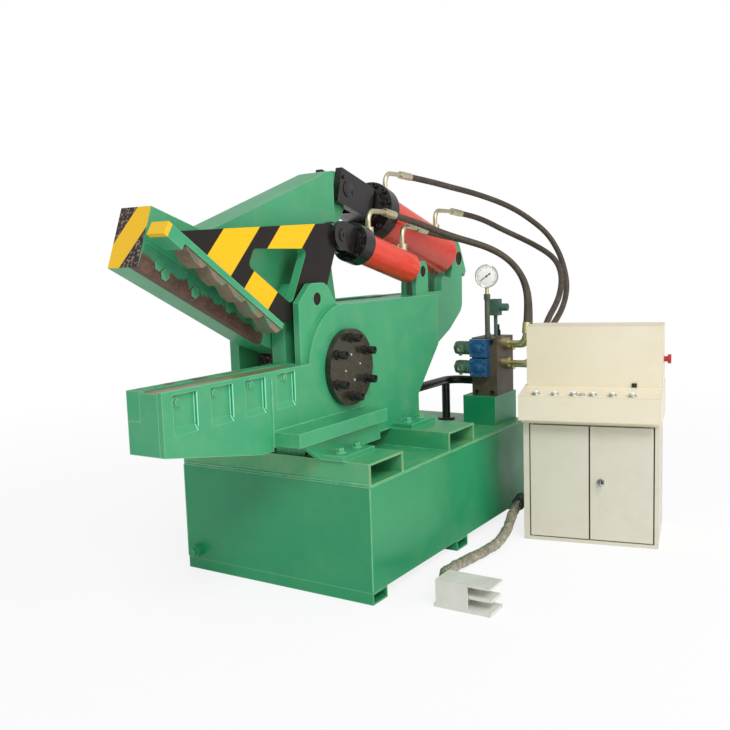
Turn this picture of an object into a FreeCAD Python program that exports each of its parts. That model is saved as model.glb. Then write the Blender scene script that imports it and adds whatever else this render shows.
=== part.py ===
import FreeCAD, Part
import math
import os

# Hydraulic alligator shear on its oil tank, with its valve stand, hoses, control cabinet and foot switch.
# Millimetres. X runs from the open jaws (-X) to the cylinder ears (+X), Y across, Z up from the floor.
# The origin is the plan centre of the tank, at floor level, under the middle skid.

os.makedirs("parts", exist_ok=True)
V = FreeCAD.Vector

# Oil tank, skids and mounting rails
tank_length = 1450.0
tank_width = 900.0
tank_height = 400.0
tank_wall = 6.0
tank_lid = 8.0
skid_height = 44.0
skid_width = 100.0
skid_wall = 6.0
rail_width = 242.0
rail_height = 78.0
rail_web = 8.0
rail_flange = 12.0
rear_rail_x = -107.0
drain_inset = 60.0
drain_rise = 40.0
drain_radius = 24.0
drain_length = 32.0
drain_neck = 0.7

# Plates of the shear frame, counted from the near side (-Y) to the far side (+Y)
side_plate_t = 20.0
lug_plate_t = 26.0
clamp_slot_w = 46.0
mid_plate_t = 60.0
shear_gap = 5.0
jaw_w = 135.0
far_plate_t = 43.0
seat_gap = 0.3
pin_clearance = 0.05

# Main pivot, clamp pivot and the four cylinder pins, as points in the XZ plane
pivot_x = -425.0
pivot_z = 825.0
clamp_pivot_x = -581.0
clamp_pivot_z = 1102.0
main_eye_x = -137.0
main_eye_z = 1543.0
main_tail_x = 888.0
main_tail_z = 1235.0
clamp_eye_x = -370.0
clamp_eye_z = 1343.0
clamp_tail_x = 272.0
clamp_tail_z = 1182.0

# Frame outline
frame_top_z = 1074.0
frame_rear_x = 350.0
frame_heel_z = 840.0
foot_rear_x = 150.0
foot_top_z = 636.0
front_corner_r = 40.0
round_front_r = 252.0
lug_front_x = -700.0
lug_top_rise = 60.0
lug_front_drop = 10.0
lug_nose_x = 40.6
lug_nose_r = 30.0
lug_rear_slope = 70.0
jaw_front_x = -1430.0
jaw_top_z = 865.0
jaw_nose_z = 663.0
jaw_heel_x = -971.0
jaw_heel_z = 581.0
far_front_x = -725.0
spacer_clear = 60.0
crosspiece_height = 60.0
top_strip_t = 18.0
top_strip_setback = 110.0

# Lower jaw: worn bed, groove and blade
bed_width = 66.0
bed_drop = 5.0
groove_depth = 24.0
groove_front = 12.0
blade_width = 56.0
blade_height = 95.0
blade_rear_x = -735.0
pocket_count = 4
pocket_depth = 12.0
pocket_length = 105.0
pocket_height = 105.0
pocket_pitch = 170.0
pocket_first_x = -1385.0
pocket_rim = 14.0

# Base shelf beside the frame, foot webs and foot pads
shelf_front_x = -905.0
shelf_rear_x = -320.0
shelf_width = 115.0
shelf_z = 600.0
shelf_t = 50.0
foot_web_inset = 35.0
foot_web_t = 25.0
foot_web_front = 60.0
pad_t = 20.0
pad_length = 210.0
pad_width = 100.0
front_pad_x = -735.0
rear_pad_x = -95.0
pad_bolt_pitch = 110.0
pad_bolt_r = 11.0

# Pins and the covers of the main pivot
pivot_pin_r = 80.0
cover_r = 152.0
cover_t = 26.0
clamp_pin_r = 25.0
clamp_lug_r = 58.0
main_pin_r = 36.0
tail_pin_r = 26.0
pin_recess = 3.0

# Upper jaw; the outline is (forward, up, corner radius) from the main pivot
jaw_outline = [(-922.0, 417.0), (-848.0, 610.0), (-600.0, 529.0, 30.0), (128.0, 778.0), (225.0, 793.0, 30.0)]
jaw_back_outline = [(136.0, 432.0, 80.0), (190.0, 120.0), (0.0, 0.0), (-310.0, 110.0)]
jaw_lug_outline = [(-10.0, 66.0), (70.0, 27.0, 40.0), (16.0, -78.0, 60.0)]
jaw_hub_r = 190.0
jaw_lug_w = 69.0
jaw_lug_front = 108.0
jaw_lug_reach = 200.0
upper_blade_t = 36.0
upper_blade_height = 88.0
upper_blade_rear = (-335.0, 120.0)

# Clamp arm, as (forward, up, corner radius) from the clamp pivot, and its toothed bar
arm_t = 36.0
arm_boss_r = 48.0
arm_outline = [(156.0, 288.0, 30.0), (226.0, 228.0, 40.0), (176.0, 178.0, 30.0), (100.0, 20.0, 50.0),
               (10.0, -60.0, 50.0)]
window_outline = [(-323.0, 192.0, 20.0), (-8.0, 190.0, 20.0), (-119.0, -15.0, 24.0), (-357.0, 134.0, 20.0)]
bar_front = (-743.0, 278.0)
bar_rear = (-196.0, -80.0)
arm_tip = 54.0
bar_width = 74.0
bar_depth = 22.0
bar_nose_depth = 45.0
bar_nose_length = 90.0
tooth_count = 5
tooth_depth = 20.0
tooth_root = 4.0
tooth_slope = 0.5
tooth_flat = 0.85
tooth_front = 104.0
tooth_inset = 6.0

# Main cylinder, measured along its axis from the rod eye
main_yoke_height = 146.0
main_yoke_front = 62.0
main_yoke_rear = 200.0
main_yoke_slot = 94.0
main_gland_r = 95.0
main_gland_start = 212.0
main_flange_r = 130.0
main_flange_start = 262.0
main_barrel_start = 334.0
main_barrel_r = 108.0
main_bore_r = 90.0
main_rod_r = 45.0
main_barrel_gap = 100.0
main_tail_w = 61.0
main_tail_r = 47.0
main_ear_t = 40.0
main_head_port = 405.0
main_rear_port = 915.0

# Ears of the main cylinder: the lower outline in XZ, then the head as offsets from the tail pin
ear_low_outline = [(630.0, 813.0), (770.0, 874.0, 120.0), (916.0, 972.0, 70.0)]
ear_head_outline = [(34.0, -71.0), (62.0, -95.0), (80.0, -66.0), (46.0, 5.0, 20.0), (2.0, 88.0, 48.0),
                    (-62.0, 92.0, 28.0), (-82.0, -60.0), (-100.0, -101.0), (-200.0, -80.0, 30.0)]

# Clamp cylinder, measured along its axis from the rod eye
clamp_knuckle_r = 56.0
clamp_cheek_t = 18.0
clamp_slot = 70.0
clamp_fork_rear = 86.0
clamp_gland_r = 56.0
clamp_gland_start = 92.0
clamp_flange_r = 83.0
clamp_flange_start = 102.0
clamp_barrel_start = 172.0
clamp_barrel_r = 68.0
clamp_bore_r = 56.0
clamp_rod_r = 30.0
clamp_barrel_gap = 80.0
clamp_tail_w = 38.0
clamp_tail_r = 42.0
clamp_ear_t = 20.0
clamp_ear_side = 1.0
clamp_ear_outline = [(-67.0, -62.0), (-47.0, 48.0, 40.0), (44.0, 46.0, 44.0)]
clamp_head_port = 238.0
clamp_rear_port = 527.0
end_plug = 24.0
piston_t = 40.0
piston_clear = 20.0

# Hoses, pipes and fittings
hose_r = 15.0
pipe_r = 11.0
nut_r = 22.0
nut_length = 34.0
crimp_r = 18.0
crimp_length = 78.0
block_crimp_length = 50.0
corner_share = 0.45
port_sink = 6.0
return_pipe_r = 20.0
return_pipe_z = 640.0
return_drop_x = 549.0
return_flange_r = 42.0
return_flange_t = 12.0
main_head_rise_z = 1642.0
main_rear_rise_z = 1484.0
clamp_head_rise_z = 1447.0
clamp_rear_rise_z = 1392.0
elbow_setback = 20.0
main_head_route = [(504, 45, 1635), (672, 15, 1619), (823, -20, 1597), (971, -50, 1579), (1106, -85, 1554),
                   (1214, -130, 1523), (1288, -180, 1485), (1348, -238, 1432), (1384, -315, 1358),
                   (1375, -375, 1272), (1344, -420, 1191), (1313, -454, 1082), (1238, -471, 1006),
                   (1133, -488, 953), (1005, -509, 916), (864, -533, 886), (720, -575, 850)]
main_rear_route = [(1053, 45, 1475), (1145, 20, 1462), (1230, -22, 1434), (1286, -76, 1394), (1317, -144, 1356),
                   (1324, -221, 1318), (1308, -299, 1279), (1269, -376, 1239), (1208, -441, 1192),
                   (1126, -490, 1134), (1026, -525, 1069), (911, -544, 999), (782, -542, 926), (655, -555, 835)]
clamp_head_route = [(91, -104, 1433), (190, -114, 1416), (279, -145, 1391), (359, -191, 1358), (428, -249, 1328),
                    (487, -316, 1301), (534, -382, 1268), (567, -439, 1221), (586, -484, 1163), (590, -512, 1092),
                    (582, -523, 1012), (565, -523, 928)]
clamp_rear_route = [(385, -98, 1368), (500, -106, 1350), (589, -147, 1335), (652, -209, 1310), (692, -282, 1280),
                    (710, -357, 1236), (709, -423, 1176), (691, -473, 1100), (660, -502, 1010), (625, -514, 911)]

# Valve stand, manifold, valves and instruments
stand_x = 470.0
stand_y = -400.0
stand_length = 250.0
stand_width = 165.0
stand_height = 111.0
stand_plate_t = 28.0
block_inset = 30.0
block_length = 190.0
block_width = 130.0
block_height = 275.0
port_low = 156.0
port_high = 250.0
port_column = 65.0
port_column_pitch = 60.0
port_column_drop = 20.0
valve_size = 84.0
valve_t = 46.0
valve_low = 138.0
valve_high = 229.0
valve_inset = 36.0
coil_r = 30.0
coil_length = 74.0
gauge_r = 55.0
gauge_t = 34.0
gauge_stem_r = 12.0
gauge_rise = 291.0
gauge_inset = 53.0
gauge_setback = 15.0
switch_stem_r = 9.0
switch_stem_h = 100.0
switch_stem_x = 110.0
switch_box = 46.0
switch_box_h = 78.0
knob_r = 18.0
knob_length = 40.0

# Control cabinet, measured from its near left front corner, turned by cabinet_turn
cabinet_x = 236.0
cabinet_y = -637.0
cabinet_turn = 11.7
cabinet_width = 560.0
cabinet_depth = 400.0
cabinet_body_h = 520.0
cabinet_wall = 5.0
desk_overhang = 60.0
desk_side = 10.0
desk_low_z = 540.0
desk_front_z = 645.0
desk_rear_z = 668.0
panel_inset = 100.0
panel_depth = 200.0
panel_top_z = 930.0
door_gap = 6.0
door_frame_gap = 5.0
door_frame_t = 20.0
door_t = 16.0
hinge_r = 4.0
hinge_inset = 8.0
hinge_depth = 14.0
door_low_z = 20.0
door_high_z = 512.0
door_edge = 30.0
door_right_edge = 20.0
button_count = 6
button_first = 61.0
button_pitch = 79.0
button_back = 30.0
button_r = 14.0
button_h = 12.0
stop_neck_r = 12.0
stop_neck = 16.0
stop_head_r = 20.0
stop_head = 14.0
stop_z = 780.0
gland_v = 210.0
gland_z = 110.0
gland_r = 30.0
gland_reach = 56.0
gland_arm = 60.0

# Foot switch and its cable
switch_x = -627.0
switch_y = -865.0
switch_length = 221.0
switch_width = 107.0
switch_base_t = 12.0
housing_length = 98.0
housing_setback = 8.0
housing_height = 95.0
hood_t = 8.0
cheek_t = 10.0
cheek_length = 26.0
pedal_gap = 6.0
pedal_z = 46.0
pedal_t = 12.0
pedal_pin_r = 5.0
pedal_pin_back = 10.0
cable_r = 25.0
cable_gland_r = 28.0
cable_gland = 24.0
cable_z = 48.0
cable_gland_turn = 35.0
cable_run_out = 99.0
cable_run_in = 115.0
cable_route = [(-319, -558, 28), (-190, -568, 27), (-60, -590, 27), (60, -598, 32), (160, -592, 62)]

# Clear spaces between layers follow from the plate thicknesses
frame_width = side_plate_t + lug_plate_t + clamp_slot_w + mid_plate_t + 2 * shear_gap + jaw_w + far_plate_t
near_y = -frame_width / 2
lug_y = near_y + side_plate_t
slot_y = lug_y + lug_plate_t
mid_y = slot_y + clamp_slot_w
shear_y = mid_y + mid_plate_t
jaw_y = shear_y + shear_gap
far_y = jaw_y + jaw_w + shear_gap
far_face_y = near_y + frame_width
clamp_axis_y = slot_y + clamp_slot_w / 2
main_axis_y = jaw_y + jaw_w / 2
tank_top_z = skid_height + tank_height
rail_top_z = tank_top_z + rail_height
block_x = stand_x + block_inset
block_z = tank_top_z + stand_height + stand_plate_t
cut_margin = 1.0


def box(x0, x1, y0, y1, z0, z1):
    return Part.makeBox(x1 - x0, y1 - y0, z1 - z0, V(x0, y0, z0))


def rod(x, y, z, direction, radius, length):
    return Part.makeCylinder(radius, length, V(x, y, z), direction)


def cross_pin(x, z, y0, y1, radius):
    return rod(x, y0, z, V(0, 1, 0), radius, y1 - y0)


def pin_hole(x, z, y0, y1, radius):
    return cross_pin(x, z, y0 - cut_margin, y1 + cut_margin, radius + pin_clearance)


def offset(outline, x, z):
    """Move a relative outline to a point; corner radii stay as they are."""
    return [(x + corner[0], z + corner[1]) + tuple(corner[2:]) for corner in outline]


def corner_edges(corners):
    """Edges of a closed outline in the XZ plane; a third number rounds that corner."""
    ends = []
    count = len(corners)
    for i, corner in enumerate(corners):
        here = V(corner[0], 0, corner[1])
        before = V(corners[i - 1][0], 0, corners[i - 1][1])
        after = V(corners[(i + 1) % count][0], 0, corners[(i + 1) % count][1])
        if len(corner) < 3:
            ends.append((here, None, here))
            continue
        back = (before - here).normalize()
        ahead = (after - here).normalize()
        half = back.getAngle(ahead) / 2
        reach = corner[2] / math.tan(half)
        middle = (back + ahead).normalize()
        centre = here + middle * (corner[2] / math.sin(half))
        ends.append((here + back * reach, centre - middle * corner[2], here + ahead * reach))
    edges = []
    for i, (start, bulge, stop) in enumerate(ends):
        if bulge is not None:
            edges.append(Part.Arc(start, bulge, stop).toShape())
        following = ends[(i + 1) % count][0]
        if stop.distanceToPoint(following) > 0.001:
            edges.append(Part.LineSegment(stop, following).toShape())
    return edges


def plate(corners, y0, y1):
    """A flat plate with this outline in XZ, between two planes across Y."""
    face = Part.Face(Part.Wire(corner_edges(corners)))
    face.translate(V(0, y0, 0))
    return face.extrude(V(0, y1 - y0, 0))


def join(shapes):
    return shapes[0].fuse(shapes[1:]).removeSplitter()


def save(name, shape):
    shape.exportStep("parts/" + name + ".step")
    print(name, len(shape.Solids), shape.isValid(), round(shape.Volume / 1e6, 2))


def tube(route, radius):
    """A round tube along straight runs joined by tangent arcs; also gives its tightest bend."""
    points = [V(*p) for p in route]
    edges = []
    tightest = math.inf
    start = points[0]
    for before, here, after in zip(points, points[1:], points[2:]):
        back = (before - here).normalize()
        ahead = (after - here).normalize()
        half_turn = (math.pi - back.getAngle(ahead)) / 2
        reach = corner_share * min(before.distanceToPoint(here), here.distanceToPoint(after))
        bend = reach / math.tan(half_turn)
        tightest = min(tightest, bend)
        middle = (back + ahead).normalize()
        centre = here + middle * (bend / math.cos(half_turn))
        edges.append(Part.LineSegment(start, here + back * reach).toShape())
        edges.append(Part.Arc(here + back * reach, centre - middle * bend, here + ahead * reach).toShape())
        start = here + ahead * reach
    edges.append(Part.LineSegment(start, points[-1]).toShape())
    path = Part.Wire(edges)
    ring = Part.Wire(Part.Circle(points[0], points[1] - points[0], radius).toShape())
    print("tube length", round(path.Length), "tightest bend", round(tightest))
    return path.makePipeShell([ring], True, False)


def fitting(port, corner, end, run_in, sleeve_length):
    """A pipe elbow with a nut at its port and a crimped sleeve that ends on the hose's end face."""
    out = (V(*corner) - V(*port)).normalize()
    tip = V(*end)
    lead = (V(*run_in) - tip).normalize()
    sleeve_start = tip - lead * sleeve_length
    pipe = tube([port, corner, tuple(sleeve_start), end], pipe_r)
    nut = Part.makeCylinder(nut_r, nut_length, V(*port), out)
    sleeve = Part.makeCylinder(crimp_r, sleeve_length, sleeve_start, lead)
    return join([pipe, nut, sleeve])


def tank():
    outside = box(-tank_length / 2, tank_length / 2, -tank_width / 2, tank_width / 2, skid_height,
                  tank_top_z - tank_lid)
    inside = box(-tank_length / 2 + tank_wall, tank_length / 2 - tank_wall, -tank_width / 2 + tank_wall,
                 tank_width / 2 - tank_wall, skid_height + tank_wall, tank_top_z)
    save("oil_tank", outside.cut(inside))
    lid = box(-tank_length / 2, tank_length / 2, -tank_width / 2, tank_width / 2, tank_top_z - tank_lid,
              tank_top_z)
    save("tank_lid", lid)


def skids():
    beams = []
    end_middle = (tank_length - skid_width) / 2
    for middle in (-end_middle, 0.0, end_middle):
        beam = box(middle - skid_width / 2, middle + skid_width / 2, -tank_width / 2, tank_width / 2, 0,
                   skid_height)
        hollow = box(middle - skid_width / 2 + skid_wall, middle + skid_width / 2 - skid_wall,
                     -tank_width / 2 - cut_margin, tank_width / 2 + cut_margin, skid_wall,
                     skid_height - skid_wall)
        beams.append(beam.cut(hollow))
    save("tank_skids", Part.makeCompound(beams))


def rails():
    channels = []
    for start in (-tank_length / 2, rear_rail_x):
        channel = box(start, start + rail_width, -tank_width / 2, tank_width / 2, tank_top_z, rail_top_z)
        hollow = box(start + rail_flange, start + rail_width - rail_flange, -tank_width / 2 - cut_margin,
                     tank_width / 2 + cut_margin, tank_top_z, rail_top_z - rail_web)
        channels.append(channel.cut(hollow))
    save("mounting_rails", Part.makeCompound(channels))


def drain():
    y = tank_width / 2 - drain_inset
    z = skid_height + drain_rise
    front = -tank_length / 2
    plug = rod(front, y, z, V(-1, 0, 0), drain_radius, drain_length)
    neck = rod(front - drain_length, y, z, V(-1, 0, 0), drain_radius * drain_neck, drain_length / 2)
    save("drain_plug", join([plug, neck]))


def frame_corners(front_x):
    """The shared outline of the outer frame plates, ending at the foot."""
    return [(front_x, frame_top_z, front_corner_r), (frame_rear_x, frame_top_z), (frame_rear_x, frame_heel_z),
            (foot_rear_x, foot_top_z), (foot_rear_x, rail_top_z), (front_x, rail_top_z)]


def pocket(x):
    """One bolt pocket of the lower jaw, its floor sloping out at the bottom."""
    top = jaw_top_z - pocket_rim
    low = top - pocket_height
    slope = pocket_depth * 2
    cut = box(x, x + pocket_length, near_y - cut_margin, near_y + pocket_depth, low, top)
    wedge = Part.makePolygon([V(x, near_y - cut_margin, low), V(x, near_y + pocket_depth, low),
                              V(x, near_y - cut_margin, low - slope), V(x, near_y - cut_margin, low)])
    return cut.fuse(Part.Face(wedge).extrude(V(pocket_length, 0, 0)))


def near_plate():
    jaw = plate([(jaw_front_x, jaw_top_z), (pivot_x, jaw_top_z), (pivot_x, shelf_z),
                 (shelf_front_x, shelf_z), (shelf_front_x, jaw_heel_z), (jaw_heel_x, jaw_heel_z),
                 (jaw_front_x, jaw_nose_z)], near_y, lug_y)
    disc = cross_pin(pivot_x, pivot_z, near_y, lug_y, round_front_r)
    back = plate(frame_corners(pivot_x), near_y, lug_y)
    whole = join([jaw, disc, back])
    for i in range(pocket_count):
        whole = whole.cut(pocket(pocket_first_x + i * pocket_pitch))
    whole = whole.cut(pin_hole(pivot_x, pivot_z, near_y, lug_y, pivot_pin_r))
    save("near_side_plate", whole)


def lug_plates():
    lug_rear_x = clamp_pivot_x + clamp_lug_r
    lug_top_z = clamp_pivot_z + lug_top_rise
    outline = [(lug_front_x, clamp_pivot_z - lug_front_drop),
               (clamp_pivot_x - lug_nose_x, lug_top_z, lug_nose_r),
               (lug_rear_x, lug_top_z, clamp_lug_r), (lug_rear_x + lug_rear_slope, frame_top_z),
               (frame_rear_x, frame_top_z), (frame_rear_x, frame_heel_z), (foot_rear_x, foot_top_z),
               (foot_rear_x, rail_top_z), (lug_front_x, rail_top_z)]
    for name, y0, y1 in [("lug_plate", lug_y, slot_y), ("middle_plate", mid_y, shear_y)]:
        whole = plate(outline, y0, y1)
        whole = whole.cut(pin_hole(pivot_x, pivot_z, y0, y1, pivot_pin_r))
        whole = whole.cut(pin_hole(clamp_pivot_x, clamp_pivot_z, y0, y1, clamp_pin_r))
        save(name, whole)


def far_plate():
    whole = plate(frame_corners(far_front_x), far_y, far_face_y)
    save("far_side_plate", whole.cut(pin_hole(pivot_x, pivot_z, far_y, far_face_y, pivot_pin_r)))


def frame_spacers():
    """Blocks that hold the plates apart: between the lug plates, across the foot and along the top."""
    slot = box(lug_front_x, pivot_x - pivot_pin_r - spacer_clear, slot_y, mid_y, rail_top_z, jaw_top_z)
    foot = box(pivot_x, foot_rear_x, shear_y, far_y, rail_top_z, rail_top_z + crosspiece_height)
    top = box(clamp_pivot_x + clamp_lug_r + top_strip_setback, frame_rear_x, slot_y, mid_y,
              frame_top_z - top_strip_t, frame_top_z)
    save("frame_spacers", Part.makeCompound([slot, foot, top]))


def lower_jaw():
    front = plate([(jaw_front_x, jaw_top_z), (lug_front_x, jaw_top_z), (lug_front_x, shelf_z),
                   (shelf_front_x, jaw_heel_z), (jaw_heel_x, jaw_heel_z), (jaw_front_x, jaw_nose_z)],
                  lug_y, shear_y)
    bed_rear_y = lug_y + bed_width
    blade_y = shear_y - blade_width
    bed = box(jaw_front_x - cut_margin, lug_front_x + cut_margin, lug_y, bed_rear_y, jaw_top_z - bed_drop,
              jaw_top_z + cut_margin)
    groove = box(jaw_front_x + groove_front, lug_front_x + cut_margin, bed_rear_y, blade_y,
                 jaw_top_z - groove_depth, jaw_top_z + cut_margin)
    seat = box(jaw_front_x - cut_margin, blade_rear_x, blade_y, shear_y + cut_margin,
               jaw_top_z - blade_height, jaw_top_z + cut_margin)
    save("lower_jaw_beam", front.cut(bed).cut(groove).cut(seat))
    save("lower_blade", box(jaw_front_x, blade_rear_x, blade_y, shear_y, jaw_top_z - blade_height, jaw_top_z))


def base():
    """Shelf, foot web and foot pads, the same on both sides of the frame."""
    shelves = []
    webs = []
    pads = []
    for side in (-1, 1):
        inner = side * frame_width / 2
        outer = inner + side * shelf_width
        web_outer = outer - side * foot_web_inset
        web_inner = web_outer - side * foot_web_t
        shelves.append(box(shelf_front_x, shelf_rear_x, min(inner, outer), max(inner, outer), shelf_z,
                           shelf_z + shelf_t))
        web = [(shelf_front_x + foot_web_front, shelf_z), (shelf_rear_x, shelf_z), (shelf_rear_x, rail_top_z),
               (front_pad_x, rail_top_z)]
        webs.append(plate(web, min(web_outer, web_inner), max(web_outer, web_inner)))
        for x, start in [(front_pad_x, web_outer), (rear_pad_x, inner)]:
            stop = start + side * pad_width
            pad = box(x, x + pad_length, min(start, stop), max(start, stop), rail_top_z, rail_top_z + pad_t)
            for shift in (-pad_bolt_pitch / 2, pad_bolt_pitch / 2):
                hole_x = x + pad_length / 2 + shift
                pad = pad.cut(rod(hole_x, (start + stop) / 2, rail_top_z - cut_margin, V(0, 0, 1), pad_bolt_r,
                                  pad_t + 2 * cut_margin))
            pads.append(pad)
    save("base_shelves", Part.makeCompound(shelves))
    save("foot_webs", Part.makeCompound(webs))
    save("foot_pads", Part.makeCompound(pads))


def pivot():
    save("pivot_pin", cross_pin(pivot_x, pivot_z, near_y, far_face_y, pivot_pin_r))
    near_cover = cross_pin(pivot_x, pivot_z, near_y - cover_t, near_y, cover_r)
    far_cover = cross_pin(pivot_x, pivot_z, far_face_y, far_face_y + cover_t, cover_r)
    save("pivot_covers", Part.makeCompound([near_cover, far_cover]))


def cylinder_ears():
    reach = clamp_tail_w / 2 + clamp_ear_side
    ear_rear_x = clamp_tail_x + clamp_ear_outline[-1][0]
    ear_front_x = clamp_tail_x + clamp_ear_outline[0][0]
    outline = [(ear_front_x, frame_top_z)] + offset(clamp_ear_outline, clamp_tail_x, clamp_tail_z)
    outline = outline + [(ear_rear_x, frame_top_z)]
    ears = []
    for y0 in (clamp_axis_y - reach - clamp_ear_t, clamp_axis_y + reach):
        ear = plate(outline, y0, y0 + clamp_ear_t)
        ears.append(ear.cut(pin_hole(clamp_tail_x, clamp_tail_z, y0, y0 + clamp_ear_t, tail_pin_r)))
    save("clamp_cylinder_ears", Part.makeCompound(ears))
    head = offset(ear_head_outline, main_tail_x, main_tail_z)
    outline = [(foot_rear_x, foot_top_z)] + ear_low_outline + head
    outline = outline + [(head[-1][0], frame_top_z), (foot_rear_x, frame_top_z)]
    ears = []
    for y0 in (shear_y, far_y - main_ear_t):
        ear = plate(outline, y0, y0 + main_ear_t)
        ears.append(ear.cut(pin_hole(main_tail_x, main_tail_z, y0, y0 + main_ear_t, main_pin_r)))
    save("main_cylinder_ears", Part.makeCompound(ears))
    pins = [cross_pin(clamp_pivot_x, clamp_pivot_z, lug_y + pin_recess, shear_y, clamp_pin_r),
            cross_pin(clamp_tail_x, clamp_tail_z, clamp_axis_y - reach - clamp_ear_t + pin_recess,
                      clamp_axis_y + reach + clamp_ear_t, tail_pin_r),
            cross_pin(main_tail_x, main_tail_z, shear_y + pin_recess, far_y, main_pin_r)]
    save("cross_pins", Part.makeCompound(pins))


def upper_blade_body(extra):
    """The upper blade along the cutting edge; extra makes the seat that it lies in."""
    start = V(pivot_x + jaw_outline[0][0], 0, pivot_z + jaw_outline[0][1])
    stop = V(pivot_x + upper_blade_rear[0], 0, pivot_z + upper_blade_rear[1])
    along = (stop - start).normalize()
    up = V(-along.z, 0, along.x)
    corners = [start - along * extra - up * extra, stop + along * extra - up * extra,
               stop + along * extra + up * (upper_blade_height + extra),
               start - along * extra + up * (upper_blade_height + extra)]
    return plate([(c.x, c.z) for c in corners], jaw_y - extra, jaw_y + upper_blade_t + extra)


def upper_jaw():
    outline = offset(jaw_outline, pivot_x, pivot_z) + offset(jaw_lug_outline, main_eye_x, main_eye_z)
    outline = outline + offset(jaw_back_outline, pivot_x, pivot_z)
    body = join([plate(outline, jaw_y, jaw_y + jaw_w),
                 cross_pin(pivot_x, pivot_z, jaw_y, jaw_y + jaw_w, jaw_hub_r)])
    for y0, y1 in [(jaw_y - cut_margin, main_axis_y - jaw_lug_w / 2),
                   (main_axis_y + jaw_lug_w / 2, jaw_y + jaw_w + cut_margin)]:
        body = body.cut(box(main_eye_x - jaw_lug_front, main_eye_x + jaw_lug_reach, y0, y1,
                            main_eye_z - jaw_lug_reach, main_eye_z + jaw_lug_reach))
    body = body.cut(pin_hole(pivot_x, pivot_z, jaw_y, jaw_y + jaw_w, pivot_pin_r))
    save("upper_jaw", body.cut(upper_blade_body(seat_gap)))
    save("upper_blade", upper_blade_body(0.0))


def clamp_arm():
    y0 = clamp_axis_y - arm_t / 2
    y1 = clamp_axis_y + arm_t / 2
    start = V(clamp_pivot_x + bar_front[0], 0, clamp_pivot_z + bar_front[1])
    stop = V(clamp_pivot_x + bar_rear[0], 0, clamp_pivot_z + bar_rear[1])
    along = (stop - start).normalize()
    up = V(-along.z, 0, along.x)
    tip = start + along * arm_tip
    outline = [(tip.x, tip.z)] + offset(arm_outline, clamp_pivot_x, clamp_pivot_z) + [(stop.x, stop.z)]
    arm = join([plate(outline, y0, y1), cross_pin(clamp_eye_x, clamp_eye_z, y0, y1, arm_boss_r)])
    window = plate(offset(window_outline, clamp_pivot_x, clamp_pivot_z), y0 - cut_margin, y1 + cut_margin)
    arm = arm.cut(window).cut(pin_hole(clamp_pivot_x, clamp_pivot_z, y0, y1, clamp_pin_r))
    save("clamp_arm", arm)
    bar_y0 = clamp_axis_y - bar_width / 2
    bar_y1 = clamp_axis_y + bar_width / 2
    low_start = start - up * bar_depth
    low_stop = stop - up * bar_depth
    nose = start + along * bar_nose_length
    bar = plate([(c.x, c.z) for c in (start, stop, low_stop, nose - up * bar_depth, nose - up * bar_nose_depth,
                                      start - up * bar_nose_depth)], bar_y0, bar_y1)
    save("clamp_bar", bar)
    teeth = [low_start + along * tooth_front]
    pitch = ((stop - start).Length - tooth_front) / tooth_count
    for i in range(tooth_count):
        root = low_start + along * (tooth_front + i * pitch) - up * tooth_root
        teeth.append(root)
        teeth.append(root + along * pitch * tooth_slope - up * tooth_depth)
        teeth.append(root + along * pitch * tooth_flat - up * tooth_depth)
    teeth.append(low_stop - up * tooth_root)
    teeth.append(low_stop)
    save("clamp_teeth", plate([(c.x, c.z) for c in teeth], bar_y0 + tooth_inset, bar_y1 - tooth_inset))


def on_axis(shape, eye, tail, axis_y):
    """Turn a shape modelled along +X from the rod eye onto the line from rod eye to tail pin."""
    turn = math.degrees(math.atan2(tail[1] - eye[1], tail[0] - eye[0]))
    placed = shape.copy()
    placed.rotate(V(0, 0, 0), V(0, -1, 0), turn)
    placed.translate(V(eye[0], axis_y, eye[1]))
    return placed


def axis_point(eye, tail, axis_y, distance, height):
    """A point beside the cylinder axis, this far from the rod eye and this high above the axis."""
    span = math.hypot(tail[0] - eye[0], tail[1] - eye[1])
    along = ((tail[0] - eye[0]) / span, (tail[1] - eye[1]) / span)
    return (eye[0] + along[0] * distance - along[1] * height, axis_y,
            eye[1] + along[1] * distance + along[0] * height)


def axis_rod(start, stop, radius):
    return rod(start, 0, 0, V(1, 0, 0), radius, stop - start)


def rod_and_piston(start, barrel_end, radius, bore_r):
    piston_end = barrel_end - end_plug - piston_clear
    piston = axis_rod(piston_end - piston_t, piston_end, bore_r - seat_gap)
    return join([axis_rod(start, piston_end, radius), piston])


def head_body(gland_start, flange_start, barrel_start, gland_r, flange_r, rod_r):
    head = join([axis_rod(gland_start, flange_start, gland_r), axis_rod(flange_start, barrel_start, flange_r)])
    return head.cut(axis_rod(gland_start - cut_margin, barrel_start + cut_margin, rod_r + pin_clearance))


def barrel_body(span, start, gap, outer, bore, tail_w, tail_r, pin_r):
    """A barrel with closed end, neck and tail eye in one piece."""
    stop = span - gap
    barrel = axis_rod(start, stop, outer).cut(axis_rod(start - cut_margin, stop - end_plug, bore))
    eye = rod(span, -tail_w / 2, 0, V(0, 1, 0), tail_r, tail_w)
    neck = box(stop - end_plug / 2, span, -tail_w / 2, tail_w / 2, -tail_r, tail_r)
    whole = join([barrel, neck, eye])
    return whole.cut(rod(span, -tail_w, 0, V(0, 1, 0), pin_r + pin_clearance, 2 * tail_w))


def port_elbow(eye, tail, axis_y, distance, barrel_r, rise_z, route):
    base = axis_point(eye, tail, axis_y, distance, barrel_r - port_sink)
    return fitting(base, (base[0], base[1], rise_z), route[0], route[1], crimp_length)


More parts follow.
